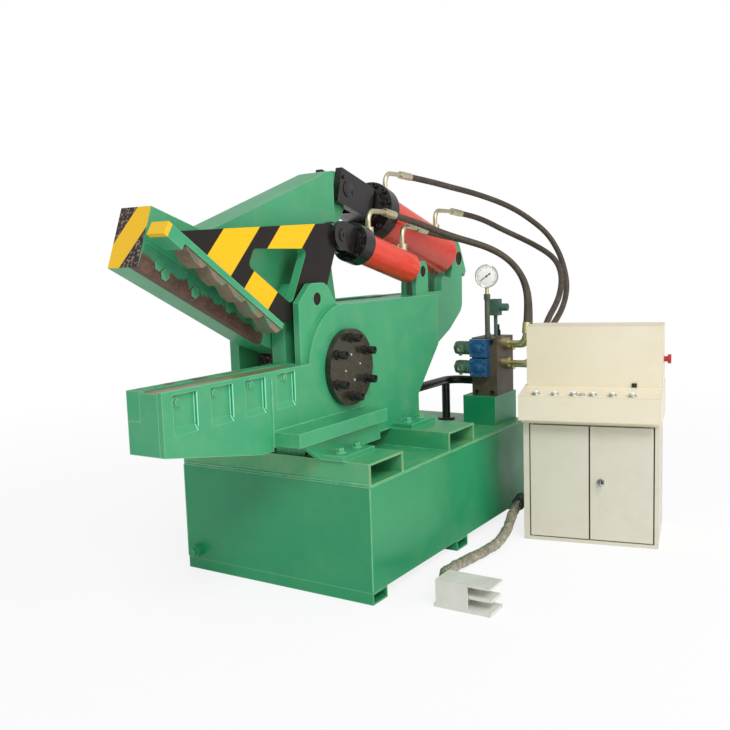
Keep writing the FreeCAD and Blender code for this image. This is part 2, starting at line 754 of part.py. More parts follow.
def main_cylinder():
    eye = (main_eye_x, main_eye_z)
    tail = (main_tail_x, main_tail_z)
    span = math.hypot(tail[0] - eye[0], tail[1] - eye[1])
    half = jaw_w / 2
    slot_half = jaw_lug_w / 2 + seat_gap
    yoke = box(-main_yoke_front, main_yoke_rear, -half, half, -main_yoke_height / 2, main_yoke_height / 2)
    yoke = yoke.cut(box(-main_yoke_front - cut_margin, main_yoke_slot, -slot_half, slot_half,
                        -main_yoke_height, main_yoke_height))
    save("main_rod_yoke", on_axis(yoke, eye, tail, main_axis_y))
    piston_rod = rod_and_piston(main_yoke_rear, span - main_barrel_gap, main_rod_r, main_bore_r)
    save("main_rod", on_axis(piston_rod, eye, tail, main_axis_y))
    head = head_body(main_gland_start, main_flange_start, main_barrel_start, main_gland_r, main_flange_r,
                     main_rod_r)
    save("main_cylinder_head", on_axis(head, eye, tail, main_axis_y))
    barrel = barrel_body(span, main_barrel_start, main_barrel_gap, main_barrel_r, main_bore_r, main_tail_w,
                         main_tail_r, main_pin_r)
    barrel = on_axis(barrel, eye, tail, main_axis_y)
    elbows = [port_elbow(eye, tail, main_axis_y, main_head_port, main_barrel_r, main_head_rise_z,
                         main_head_route),
              port_elbow(eye, tail, main_axis_y, main_rear_port, main_barrel_r, main_rear_rise_z,
                         main_rear_route)]
    fittings = Part.makeCompound([elbow.cut(barrel) for elbow in elbows])
    save("main_barrel", barrel)
    save("main_port_fittings", fittings)


def clamp_cylinder():
    eye = (clamp_eye_x, clamp_eye_z)
    tail = (clamp_tail_x, clamp_tail_z)
    span = math.hypot(tail[0] - eye[0], tail[1] - eye[1])
    half = arm_t / 2 + clamp_cheek_t
    slot_half = arm_t / 2 + seat_gap
    fork = join([rod(0, -half, 0, V(0, 1, 0), clamp_knuckle_r, 2 * half),
                 box(0, clamp_fork_rear, -half, half, -clamp_knuckle_r, clamp_knuckle_r)])
    fork = fork.cut(box(-clamp_knuckle_r - cut_margin, clamp_slot, -slot_half, slot_half,
                        -clamp_knuckle_r - cut_margin, clamp_knuckle_r + cut_margin))
    save("clamp_rod_fork", on_axis(fork, eye, tail, clamp_axis_y))
    piston_rod = rod_and_piston(clamp_fork_rear, span - clamp_barrel_gap, clamp_rod_r, clamp_bore_r)
    save("clamp_rod", on_axis(piston_rod, eye, tail, clamp_axis_y))
    head = head_body(clamp_gland_start, clamp_flange_start, clamp_barrel_start, clamp_gland_r, clamp_flange_r,
                     clamp_rod_r)
    save("clamp_cylinder_head", on_axis(head, eye, tail, clamp_axis_y))
    barrel = barrel_body(span, clamp_barrel_start, clamp_barrel_gap, clamp_barrel_r, clamp_bore_r, clamp_tail_w,
                         clamp_tail_r, tail_pin_r)
    barrel = on_axis(barrel, eye, tail, clamp_axis_y)
    elbows = [port_elbow(eye, tail, clamp_axis_y, clamp_head_port, clamp_barrel_r, clamp_head_rise_z,
                         clamp_head_route),
              port_elbow(eye, tail, clamp_axis_y, clamp_rear_port, clamp_barrel_r, clamp_rear_rise_z,
                         clamp_rear_route)]
    fittings = Part.makeCompound([elbow.cut(barrel) for elbow in elbows])
    save("clamp_barrel", barrel)
    save("clamp_port_fittings", fittings)


def hoses():
    routes = {"main_head_hose": main_head_route, "main_rear_hose": main_rear_route,
              "clamp_head_hose": clamp_head_route, "clamp_rear_hose": clamp_rear_route}
    for name, route in routes.items():
        save(name, tube(route, hose_r))


def valve_stand():
    stand_y1 = stand_y + stand_width
    stand_x1 = stand_x + stand_length
    stand_top = tank_top_z + stand_height
    save("valve_stand", box(stand_x, stand_x1, stand_y, stand_y1, tank_top_z, stand_top + stand_plate_t))
    block_y1 = stand_y + block_width
    save("manifold_block", box(block_x, block_x + block_length, stand_y, block_y1, block_z,
                               block_z + block_height))
    valves = []
    coils = []
    valve_y = stand_y + valve_inset
    for z in (block_z + valve_low, block_z + valve_high):
        valves.append(box(block_x - valve_t, block_x, valve_y, valve_y + valve_size, z - valve_size / 2,
                          z + valve_size / 2))
        coils.append(rod(block_x - coil_r - seat_gap, valve_y + valve_size, z, V(0, 1, 0), coil_r, coil_length))
    save("solenoid_valves", Part.makeCompound(valves))
    save("solenoid_coils", Part.makeCompound(coils))
    block_top = block_z + block_height
    gauge_x = block_x + gauge_setback
    gauge_y = stand_y + gauge_inset
    stem = rod(gauge_x, gauge_y, block_top, V(0, 0, 1), gauge_stem_r, gauge_rise)
    dial = rod(gauge_x - gauge_t / 2, gauge_y, block_top + gauge_rise, V(1, 0, 0), gauge_r, gauge_t)
    save("pressure_gauge", join([stem, dial]))
    stem_x = block_x + switch_stem_x
    stem = rod(stem_x, gauge_y, block_top, V(0, 0, 1), switch_stem_r, switch_stem_h)
    body_z = block_top + switch_stem_h
    body = box(stem_x - switch_box / 2, stem_x + switch_box / 2, gauge_y - switch_box / 2,
               gauge_y + switch_box / 2, body_z, body_z + switch_box_h)
    knob = rod(stem_x, gauge_y - switch_box / 2, body_z + switch_box_h / 2, V(0, -1, 0), knob_r, knob_length)
    save("pressure_switch", join([stem, body, knob]))


def manifold_fittings():
    """Four elbows on the near face of the block, in two columns; the rear column sits a little lower."""
    ports = [(0, port_high, clamp_head_route), (1, port_high, clamp_rear_route), (0, port_low, main_rear_route),
             (1, port_low, main_head_route)]
    elbows = []
    for column, height, route in ports:
        port_x = block_x + port_column + column * port_column_pitch
        port_z = block_z + height - column * port_column_drop
        corner = (port_x, route[-1][1] + elbow_setback, port_z)
        elbows.append(fitting((port_x, stand_y, port_z), corner, route[-1], route[-2], block_crimp_length))
    save("manifold_fittings", Part.makeCompound(elbows))


def return_pipe():
    middle_x = block_x + block_length / 2
    block_rear_y = stand_y + block_width
    level = tube([(foot_rear_x, clamp_axis_y, return_pipe_z), (middle_x, clamp_axis_y, return_pipe_z),
                  (middle_x, block_rear_y, return_pipe_z)], return_pipe_r)
    drop = rod(return_drop_x, clamp_axis_y, tank_top_z, V(0, 0, 1), return_pipe_r, return_pipe_z - tank_top_z)
    flange = rod(return_drop_x, clamp_axis_y, tank_top_z, V(0, 0, 1), return_flange_r, return_flange_t)
    save("return_pipe", join([level, drop, flange]))


def cabinet_place(shape):
    """Local u runs along the cabinet's front to the right, v goes back, w up; then turned and moved."""
    placed = shape.copy()
    placed.rotate(V(0, 0, 0), V(0, 0, 1), -90.0 + cabinet_turn)
    placed.translate(V(cabinet_x, cabinet_y, 0))
    return placed


def cabinet_spot(point):
    """The same turn and move for one point."""
    turned = FreeCAD.Rotation(V(0, 0, 1), -90.0 + cabinet_turn).multVec(point)
    return turned + V(cabinet_x, cabinet_y, 0)


def cabinet():
    w = cabinet_width
    d = cabinet_depth
    h = cabinet_body_h
    room = box(cabinet_wall, w - cabinet_wall, door_frame_t, d - cabinet_wall, cabinet_wall, h - cabinet_wall)
    doorway = box(door_edge - door_frame_gap, w - door_right_edge + door_frame_gap, -cut_margin,
                  door_frame_t + cut_margin, door_low_z - door_frame_gap, door_high_z + door_frame_gap)
    shell = [box(0, w, 0, d, 0, h).cut(room).cut(doorway)]
    gland = [rod(0, gland_v, gland_z, V(-1, 0, 0), gland_r, gland_reach),
             rod(-gland_reach, gland_v + gland_r, gland_z, V(0, -1, 0), gland_r, gland_arm + gland_r)]
    save("cabinet_gland", cabinet_place(join(gland)))
    hinge_v = door_t / 2
    hinges = {"left_door": door_edge + hinge_inset, "right_door": w - door_right_edge - hinge_inset}
    pin_length = door_frame_gap + hinge_depth
    for u in hinges.values():
        shell.append(rod(u, hinge_v, door_low_z - door_frame_gap, V(0, 0, 1), hinge_r, pin_length))
        shell.append(rod(u, hinge_v, door_high_z + door_frame_gap, V(0, 0, -1), hinge_r, pin_length))
    save("cabinet_shell", cabinet_place(join(shell)))
    side = [(-desk_overhang, desk_low_z), (-desk_overhang, desk_front_z), (panel_inset, desk_rear_z),
            (d, desk_rear_z), (d, h), (0, h), (0, desk_low_z), (-desk_overhang, desk_low_z)]
    desk = Part.Face(Part.makePolygon([V(-desk_side, v, z) for v, z in side]))
    save("control_desk", cabinet_place(desk.extrude(V(w + 2 * desk_side, 0, 0))))
    panel_right = w + desk_side
    panel = box(0, panel_right, panel_inset, panel_inset + panel_depth, desk_rear_z, panel_top_z)
    save("desk_back_panel", cabinet_place(panel))
    doors = {"left_door": (door_edge, (w - door_gap) / 2), "right_door": ((w + door_gap) / 2, w - door_right_edge)}
    for name, (u0, u1) in doors.items():
        door = box(u0, u1, 0, door_t, door_low_z, door_high_z)
        for z in (door_low_z - hinge_depth, door_high_z - hinge_depth):
            door = door.cut(rod(hinges[name], hinge_v, z, V(0, 0, 1), hinge_r + pin_clearance, 2 * hinge_depth))
        save(name, cabinet_place(door))
    rise = (desk_rear_z - desk_front_z) / (panel_inset + desk_overhang)
    button_v = -desk_overhang + button_back
    buttons = [rod(button_first + i * button_pitch, button_v, desk_front_z + rise * button_back, V(0, -rise, 1),
                   button_r, button_h) for i in range(button_count)]
    save("push_buttons", cabinet_place(Part.makeCompound(buttons)))
    stop_v = panel_inset + panel_depth / 2
    neck = rod(panel_right, stop_v, stop_z, V(1, 0, 0), stop_neck_r, stop_neck)
    head = rod(panel_right + stop_neck, stop_v, stop_z, V(1, 0, 0), stop_head_r, stop_head)
    save("emergency_stop", cabinet_place(join([neck, head])))


def foot_switch():
    x0 = switch_x
    x1 = switch_x + switch_width
    y0 = switch_y
    y1 = switch_y + switch_length
    house_y1 = y1 - housing_setback
    house_y0 = house_y1 - housing_length
    pin_y = house_y0 - pedal_gap - pedal_pin_back
    pin_z = pedal_z + pedal_t / 2
    gland_turn = math.radians(cable_gland_turn)
    gland_out = V(math.cos(gland_turn), math.sin(gland_turn), 0)
    gland_root = V((x0 + x1) / 2, house_y1 - cable_gland_r, cable_z)
    gland_length = cable_gland_r / gland_out.y + cable_gland
    save("switch_base", box(x0, x1, y0, y1, 0, switch_base_t))
    housing = [box(x0, x1, house_y0, house_y1, switch_base_t, housing_height),
               box(x0, x1, y0, house_y1, housing_height, housing_height + hood_t),
               Part.makeCylinder(cable_gland_r, gland_length, gland_root, gland_out)]
    for cheek_x in (x0, x1 - cheek_t):
        housing.append(box(cheek_x, cheek_x + cheek_t, house_y0 - cheek_length, house_y0, switch_base_t,
                           housing_height))
    axle = rod(x0, pin_y, pin_z, V(1, 0, 0), pedal_pin_r, switch_width)
    bore = rod(x0 - cut_margin, pin_y, pin_z, V(1, 0, 0), pedal_pin_r + pin_clearance,
               switch_width + 2 * cut_margin)
    save("switch_housing", join(housing).cut(bore))
    side = cheek_t + shear_gap
    pad = box(x0 + side, x1 - side, y0, house_y0 - pedal_gap, pedal_z, pedal_z + pedal_t)
    save("foot_pedal", join([pad, axle]))
    leads = [tuple(gland_root + gland_out * reach) for reach in (gland_length, gland_length + cable_run_out)]
    outlet = V(-gland_reach, gland_v - gland_arm, gland_z)
    ends = [tuple(cabinet_spot(outlet - V(0, cable_run_in, 0))), tuple(cabinet_spot(outlet))]
    save("foot_cable", tube(leads + cable_route + ends, cable_r))


tank()
skids()
rails()
drain()
near_plate()
lug_plates()
far_plate()
frame_spacers()
lower_jaw()
base()
pivot()
cylinder_ears()
upper_jaw()
clamp_arm()
main_cylinder()
clamp_cylinder()
hoses()
valve_stand()
manifold_fittings()
return_pipe()
cabinet()
foot_switch()
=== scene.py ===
# %% [markdown]
# # A hydraulic alligator shear
#
# The machine is a scrap shear: a fixed lower jaw, a big hinged upper jaw driven by the red main cylinder, and
# a striped clamp arm with its own smaller cylinder. It stands on an oil tank, with a valve stand, a control
# cabinet and a foot switch beside it. The solid model already has every plate in its place, so it is loaded
# as a frame that never moves. This file gives each plate its finish, lays the hoses as smooth curves and adds
# the screws, welds and dials. The other way would be to model the plates again as meshes, but then two models
# could disagree.

# %% Load the frame
import math
import bmesh
import bpy
from mathutils import Matrix, Vector, noise


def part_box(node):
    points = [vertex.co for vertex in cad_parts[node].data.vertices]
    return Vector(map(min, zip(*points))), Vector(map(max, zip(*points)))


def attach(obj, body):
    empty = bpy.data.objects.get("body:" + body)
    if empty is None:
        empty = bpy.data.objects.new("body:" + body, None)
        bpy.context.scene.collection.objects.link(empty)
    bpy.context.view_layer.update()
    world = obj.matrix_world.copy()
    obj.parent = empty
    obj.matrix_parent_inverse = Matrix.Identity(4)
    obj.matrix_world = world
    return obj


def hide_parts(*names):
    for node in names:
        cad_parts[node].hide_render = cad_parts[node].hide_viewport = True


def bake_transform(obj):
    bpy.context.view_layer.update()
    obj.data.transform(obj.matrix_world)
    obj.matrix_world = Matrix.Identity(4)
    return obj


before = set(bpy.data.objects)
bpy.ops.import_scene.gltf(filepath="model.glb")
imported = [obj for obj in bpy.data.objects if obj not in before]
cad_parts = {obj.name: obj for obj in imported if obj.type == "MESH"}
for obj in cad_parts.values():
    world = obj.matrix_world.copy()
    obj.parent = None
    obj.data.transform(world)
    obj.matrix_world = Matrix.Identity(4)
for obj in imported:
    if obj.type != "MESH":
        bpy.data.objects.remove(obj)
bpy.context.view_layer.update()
scene = bpy.context.scene
MM = 0.001

# %% [markdown]
# ## The camera
#
# A photograph fixes its own viewpoint. The lens and the place of the camera were worked out from the known
# corners of the tank and the cabinet, so they are written here as plain numbers. The camera is turned by
# three directions, right, up and backwards, because a matrix built from them cannot be misread as Euler
# angles can.

# %% Camera at the photograph's viewpoint
IMAGE_WIDTH = 730
FOCAL_PIXELS = 880.593
SENSOR = 36.0
yaw, pitch, roll = 0.5705, -0.1184, -0.0327
look = Vector((math.cos(yaw) * math.cos(pitch), math.sin(yaw) * math.cos(pitch), math.sin(pitch)))
level_right = Vector((math.sin(yaw), -math.cos(yaw), 0))
level_up = level_right.cross(look)
right = level_right * math.cos(roll) + level_up * math.sin(roll)
up = level_up * math.cos(roll) - level_right * math.sin(roll)
camera_data = bpy.data.cameras.new("photo_camera")
camera_data.lens = FOCAL_PIXELS / IMAGE_WIDTH * SENSOR
camera_data.sensor_width = SENSOR
camera_data.clip_end = 60
camera = bpy.data.objects.new("photo_camera", camera_data)
turned = Matrix((right, up, -look)).transposed().to_4x4()
camera.matrix_world = Matrix.Translation(Vector((-3.3007, -2.1000, 1.2414))) @ turned
scene.collection.objects.link(camera)
scene.camera = camera
print("lens", round(camera_data.lens, 2), "mm")

# %% [markdown]
# ## Light and floor
#
# The real machine was photographed in flat daylight and cut out on white. A bright, even world gives that
# soft light, a broad sun from the camera's left gives the sides different values, and a large lamp fills the
# right. The background is made white only for the camera, because a stronger world would wash out the paint.

# %% World, sun and fill
scene.view_settings.view_transform = "Standard"
world = bpy.data.worlds.new("studio")
scene.world = world
world.use_nodes = True


def add(tree, kind, values=None, links=None, **settings):
    """One node: settings are its options, values its plain inputs and links the sockets that feed it."""
    made = tree.nodes.new("ShaderNode" + kind)
    for name, value in settings.items():
        setattr(made, name, value)
    for key, value in (values or {}).items():
        made.inputs[key].default_value = value
    for key, source in (links or {}).items():
        tree.links.new(source, made.inputs[key])
    return made


tree = world.node_tree
tree.nodes.clear()
seen = add(tree, "LightPath")
direct = add(tree, "Math", links={0: seen.outputs["Is Camera Ray"], 1: seen.outputs["Is Transmission Ray"]},
             operation="MAXIMUM")
soft = add(tree, "Background", {"Color": (1, 1, 1, 1), "Strength": 0.5})
mirror = add(tree, "Background", {"Color": (1, 1, 1, 1), "Strength": 0.6})
white = add(tree, "Background", {"Color": (1, 1, 1, 1), "Strength": 1.0})
glossy = add(tree, "MixShader",
             links={0: seen.outputs["Is Glossy Ray"], 1: soft.outputs[0], 2: mirror.outputs[0]})
shown = add(tree, "MixShader", links={0: direct.outputs[0], 1: glossy.outputs[0], 2: white.outputs[0]})
add(tree, "OutputWorld", links={"Surface": shown.outputs[0]})

sun_data = bpy.data.lights.new("soft_sun", "SUN")
sun_data.energy = 1.4
sun_data.angle = math.radians(24)
sun = bpy.data.objects.new("soft_sun", sun_data)
sun.rotation_euler = Vector((0.62, 0.62, -0.85)).to_track_quat("-Z", "Y").to_euler()
scene.collection.objects.link(sun)
fill_data = bpy.data.lights.new("side_fill", "AREA")
fill_data.energy = 60
fill_data.size = 3.0
fill = bpy.data.objects.new("side_fill", fill_data)
fill.location = (-0.6, -4.2, 2.4)
fill.rotation_euler = (Vector((0, 0, 0.8)) - fill.location).to_track_quat("-Z", "Y").to_euler()
scene.collection.objects.link(fill)

# %% Pale floor
floor_mesh = bmesh.new()
bmesh.ops.create_grid(floor_mesh, x_segments=1, y_segments=1, size=30)
floor_data = bpy.data.meshes.new("studio_floor")
floor_mesh.to_mesh(floor_data)
floor_mesh.free()
floor = bpy.data.objects.new("studio_floor", floor_data)
floor.location = (0, 0, -0.001)
scene.collection.objects.link(floor)
paper = bpy.data.materials.new("floor_paper")
paper.use_nodes = True
tree = paper.node_tree
tree.nodes.clear()
seen = add(tree, "LightPath")
matt = add(tree, "BsdfDiffuse", {"Color": (0.9, 0.9, 0.9, 1)})
bright = add(tree, "Emission", {"Color": (1, 1, 1, 1), "Strength": 1.0})
ground = add(tree, "TexCoord")
away = add(tree, "VectorMath", links={0: ground.outputs["Object"]}, operation="LENGTH")
paler = add(tree, "MapRange", {1: 2.0, 2: 5.0, 3: 0.82, 4: 1.0}, {0: away.outputs["Value"]})
share = add(tree, "Math", links={0: seen.outputs["Is Camera Ray"], 1: paler.outputs[0]}, operation="MULTIPLY")
both = add(tree, "MixShader", links={0: share.outputs[0], 1: matt.outputs[0], 2: bright.outputs[0]})
add(tree, "OutputMaterial", links={"Surface": both.outputs[0]})
floor_data.materials.append(paper)
print("floor and lights ready")

# %% [markdown]
# ## Enamel
#
# Almost every surface here is machine enamel, brushed or sprayed thick over hot-rolled plate. Such paint is
# glossy but never even: its colour drifts over half a metre, dust settles in patches a hand wide, and it has
# a fine orange peel. An image could give that, but a procedural mix of three noises at real sizes stays sharp
# in close views and needs no unwrapping. All patterns read Object coordinates, which are metres in this
# frame.

# %% Colour helper and the enamel finish


def colour(code):
    """An sRGB hex code as linear RGBA."""
    channels = [int(code[i:i + 2], 16) / 255 for i in (0, 2, 4)]
    return tuple(c / 12.92 if c <= 0.04045 else ((c + 0.055) / 1.055) ** 2.4 for c in channels) + (1.0,)


def per_metre(size_mm):
    """A noise scale whose features are about this many millimetres across."""
    return 1000.0 / size_mm


def new_material(name, metallic=0.0, roughness=0.4, coat=0.0):
    """A material with its Principled shader and its object position, ready for a finish."""
    made = bpy.data.materials.new(name)
    made.use_nodes = True
    nodes = made.node_tree
    nodes.nodes.clear()
    shader = add(nodes, "BsdfPrincipled", {"Metallic": metallic, "Roughness": roughness, "Coat Weight": coat,
                                           "Coat Roughness": 0.12})
    add(nodes, "OutputMaterial", links={"Surface": shader.outputs[0]})
    place = add(nodes, "TexCoord")
    return made, nodes, shader, place


def mottled(nodes, place, plain, drift, dust, drift_mm=420.0, dust_mm=90.0, dust_share=0.5):
    """A colour that drifts over large patches, with paler dust in smaller ones."""
    wide = add(nodes, "TexNoise", {"Scale": per_metre(drift_mm), "Detail": 3.0},
               {"Vector": place.outputs["Object"]})
    wide_ramp = add(nodes, "MapRange", {1: 0.35, 2: 0.65}, {0: wide.outputs["Fac"]})
    base = add(nodes, "Mix", {6: colour(plain), 7: colour(drift)}, {0: wide_ramp.outputs[0]},
               data_type="RGBA")
    small = add(nodes, "TexNoise", {"Scale": per_metre(dust_mm), "Detail": 6.0, "Roughness": 0.65},
                {"Vector": place.outputs["Object"]})
    small_ramp = add(nodes, "MapRange", {1: 0.48, 2: 0.75, 4: dust_share}, {0: small.outputs["Fac"]})
    dusty = add(nodes, "Mix", {7: colour(dust)}, {0: small_ramp.outputs[0], 6: base.outputs[2]},
                data_type="RGBA")
    return dusty.outputs[2], small.outputs["Fac"]


def orange_peel(nodes, place, shader, size_mm=9.0, height_mm=0.25, strength=0.35):
    """The slight waviness of thick paint, drawn a little coarser than real so that it shows."""
    peel = add(nodes, "TexNoise", {"Scale": per_metre(size_mm), "Detail": 2.0},
               {"Vector": place.outputs["Object"]})
    bump = add(nodes, "Bump", {"Strength": strength, "Distance": height_mm * MM},
               {"Height": peel.outputs["Fac"]})
    nodes.links.new(bump.outputs[0], shader.inputs["Normal"])


def rough_by(nodes, shader, source, low, high):
    spread = add(nodes, "MapRange", {1: 0.3, 2: 0.7, 3: low, 4: high}, {0: source})
    nodes.links.new(spread.outputs[0], shader.inputs["Roughness"])


def edge_wear_and_highlight(nodes, tint, edge, share, width_mm=5.0):
    """Brighter colour on the plates' edges, where the rounded normal differs from the flat one: part thinner
    worn paint and part painted highlight.
    """
    rounded = add(nodes, "Bevel", {"Radius": width_mm * MM}, samples=4)
    flat = add(nodes, "NewGeometry")
    same = add(nodes, "VectorMath", links={0: rounded.outputs[0], 1: flat.outputs["Normal"]},
               operation="DOT_PRODUCT")
    mask = add(nodes, "MapRange", {1: 0.995, 2: 0.9, 3: 0.0, 4: share}, {0: same.outputs["Value"]})
    return add(nodes, "Mix", {7: colour(edge)}, {0: mask.outputs[0], 6: tint}, data_type="RGBA").outputs[2]


def enamel(name, plain, drift, dust, gloss=(0.28, 0.5), coat=0.15, dust_share=0.5, dust_mm=90.0, edge=None):
    """Thick machine enamel: one colour, its drift, dust that also dulls it, and brighter edges that are part
    wear and part painted highlight.
    """
    made, nodes, shader, place = new_material(name, coat=coat)
    tint, grain = mottled(nodes, place, plain, drift, dust, dust_mm=dust_mm, dust_share=dust_share)
    # The lighter edges are part worn paint and part painted highlight.
    if edge:
        tint = edge_wear_and_highlight(nodes, tint, edge, 0.75)
    nodes.links.new(tint, shader.inputs["Base Color"])
    rough_by(nodes, shader, grain, *gloss)
    orange_peel(nodes, place, shader)
    return made


frame_green = enamel("frame_green_enamel", "2f9c6c", "44a674", "6cab74", dust_share=0.45, edge="8fd0a4")
tank_green = enamel("tank_green_enamel", "128a5a", "249662", "4a9a66", dust_share=0.4, dust_mm=160.0,
                    edge="6fb07c")
lid_green = enamel("tank_lid_enamel", "3a9f6c", "52a873", "8fae78", dust_share=0.6, dust_mm=140.0,
                   edge="b9c48c")
red_enamel = enamel("cylinder_red_enamel", "e5331a", "ee4227", "f26a4c", gloss=(0.2, 0.34), coat=0.3,
                    dust_share=0.2)
black_enamel = enamel("black_gloss_enamel", "100d0c", "171311", "2c2723", gloss=(0.2, 0.42), coat=0.25,
                      dust_share=0.4, dust_mm=40.0, edge="3d3833")
cover_enamel = enamel("pivot_cover_brown_black_enamel", "241f1a", "2e2822", "4a4338", gloss=(0.18, 0.36),
                      coat=0.3, dust_share=0.4, dust_mm=50.0)
cream_coat = enamel("cabinet_cream_coat", "e6dcc3", "eae1cb", "dbd0b4", gloss=(0.42, 0.55), coat=0.0,
                    dust_share=0.3, edge="cfc29c")
door_coat = enamel("door_pale_grey_coat", "d1ccbb", "d7d2c3", "c4beab", gloss=(0.42, 0.55), coat=0.0,
                   dust_share=0.3, edge="b5af9a")
valve_blue = enamel("valve_blue_enamel", "174f86", "235c92", "3f6d88", gloss=(0.3, 0.45), dust_mm=25.0,
                    edge="5d86a3")
print("enamels ready")

# %% [markdown]
# ## Warning stripes
#
# The clamp arm has yellow and black bars on its near face only, at 45 degrees across the plate, and the jaw's
# nose has one wide yellow band on worn black. Stripes could be a painted image, or separate thin plates. A
# position in the frame measured across the bars and compared with the edges of each bar is exact and stays
# with the plate. The faces across the plate's thickness stay green, which the surface normal tells.

# %% Stripe finishes


def band(nodes, value, edges):
    """1 inside each pair of edges and 0 outside, with a crisp painted edge."""
    total = None
    for low, high in edges:
        over = add(nodes, "MapRange", {1: low - 0.0008, 2: low + 0.0008}, {0: value})
        under = add(nodes, "MapRange", {1: high - 0.0008, 2: high + 0.0008, 3: 1.0, 4: 0.0}, {0: value})
        inside = add(nodes, "Math", links={0: over.outputs[0], 1: under.outputs[0]}, operation="MULTIPLY")
        if total is None:
            total = inside
        else:
            total = add(nodes, "Math", links={0: total.outputs[0], 1: inside.outputs[0]}, operation="MAXIMUM")
    return total.outputs[0]


def along(nodes, place, direction):
    """How far a point lies along this direction, in metres."""
    made = add(nodes, "VectorMath", {1: direction}, {0: place.outputs["Object"]}, operation="DOT_PRODUCT")
    return made.outputs["Value"]


def facing(nodes, place, direction, least=0.7):
    """1 where the surface looks along this direction."""
    made = add(nodes, "VectorMath", {1: direction}, {0: place.outputs["Normal"]}, operation="DOT_PRODUCT")
    return add(nodes, "Math", {1: least}, {0: made.outputs["Value"]}, operation="GREATER_THAN").outputs[0]


def blend_colour(nodes, share, low, high):
    """low where share is 0 and high where it is 1; each is a hex code or a socket."""
    values = {}
    links = {0: share}
    for slot_number, given in ((6, low), (7, high)):
        if isinstance(given, str):
            values[slot_number] = colour(given)
        else:
            links[slot_number] = given
    return add(nodes, "Mix", values, links, data_type="RGBA").outputs[2]


ARM_YELLOW = [(-2.415, -2.234), (-2.123, -1.918)]
NOSE_YELLOW = [(1.350, 1.506)]
STRIPE_YELLOW = "f7c40e"
STRIPE_BLACK = "1b1512"
PLATE_GREEN = "2f9c6c"

arm_stripes, nodes, shader, place = new_material("clamp_arm_striped_enamel", coat=0.0)
shader.inputs["Specular IOR Level"].default_value = 0.3
green, grain = mottled(nodes, place, PLATE_GREEN, "44a674", "6cab74", dust_share=0.4)
# Here and below, the lighter edges are part worn paint and part painted highlight.
green = edge_wear_and_highlight(nodes, green, "8fd0a4", 0.6)
bars = blend_colour(nodes, band(nodes, along(nodes, place, (1, 0, -1)), ARM_YELLOW), STRIPE_BLACK,
                    STRIPE_YELLOW)
near_face = facing(nodes, place, (0, -1, 0))
nodes.links.new(blend_colour(nodes, near_face, green, bars), shader.inputs["Base Color"])
rough_by(nodes, shader, grain, 0.25, 0.45)
orange_peel(nodes, place, shader)

jaw_stripes, nodes, shader, place = new_material("upper_jaw_striped_enamel", coat=0.15)
green, grain = mottled(nodes, place, "3b9f6d", "4aa676", "79ac78", dust_share=0.4)
green = edge_wear_and_highlight(nodes, green, "8fcf9f", 0.6)
chips = add(nodes, "TexNoise", {"Scale": per_metre(9.0), "Detail": 4.0}, {"Vector": place.outputs["Object"]})
chipped = add(nodes, "Math", {1: 0.56}, {0: chips.outputs["Fac"]}, operation="GREATER_THAN").outputs[0]
worn_black = blend_colour(nodes, chipped, STRIPE_BLACK, "8c6f66")
nose = blend_colour(nodes, band(nodes, along(nodes, place, (0, 1.544, 1)), NOSE_YELLOW), worn_black,
                    STRIPE_YELLOW)
nose_face = facing(nodes, place, (-0.934, 0, 0.358), 0.9)
nodes.links.new(blend_colour(nodes, nose_face, green, nose), shader.inputs["Base Color"])
rough_by(nodes, shader, grain, 0.28, 0.5)
orange_peel(nodes, place, shader)

bar_paint, nodes, shader, place = new_material("clamp_bar_enamel", coat=0.15)
green, grain = mottled(nodes, place, "2c9c6c", "42a676", "6cab74", dust_share=0.4)
green = edge_wear_and_highlight(nodes, green, "8fd0a4", 0.6)
BAR_ALONG = (0.8367, 0, -0.5476)
BAR_START = -1.8637
tip = band(nodes, along(nodes, place, BAR_ALONG), [(BAR_START - 0.05, BAR_START + 0.018)])
nodes.links.new(blend_colour(nodes, tip, green, STRIPE_YELLOW), shader.inputs["Base Color"])
rough_by(nodes, shader, grain, 0.25, 0.45)
orange_peel(nodes, place, shader)
print("stripes ready")

# %% [markdown]
# ## Worn steel, zinc, chrome and rubber
#
# The teeth and the blades' cutting edges are bare tool steel that has rusted to a soft brown, with green over
# the rest, because the whole machine was painted after they were bolted on. The lower jaw's bed is rusty too.
# The fittings are zinc plate, pale on the cylinders and yellow on the manifold, and the rods are hard chrome.
# Rust is rough and not metallic, while zinc and chrome are metals, so their colour goes into a metallic
# shader.

# %% Worn steel and the jaw bed


def rusty(name, bare, dark, spray, spray_share=0.5):
    """Rusted tool steel with patches of overspray."""
    made, nodes, shader, place = new_material(name, roughness=0.7)
    rust, grain = mottled(nodes, place, bare, dark, "9c8272", drift_mm=60.0, dust_mm=14.0, dust_share=0.6)
    drift = add(nodes, "TexNoise", {"Scale": per_metre(120.0), "Detail": 4.0, "Roughness": 0.6},
                {"Vector": place.outputs["Object"]})
    mask = add(nodes, "MapRange", {1: 0.5, 2: 0.62, 4: spray_share}, {0: drift.outputs["Fac"]})
    nodes.links.new(blend_colour(nodes, mask.outputs[0], rust, spray), shader.inputs["Base Color"])
    rough_by(nodes, shader, grain, 0.55, 0.85)
    orange_peel(nodes, place, shader, size_mm=3.0, height_mm=0.4, strength=0.6)
    return made


tooth_steel = rusty("tooth_rusted_tool_steel", "8a7862", "6c5e4c", "4f9470", 0.9)

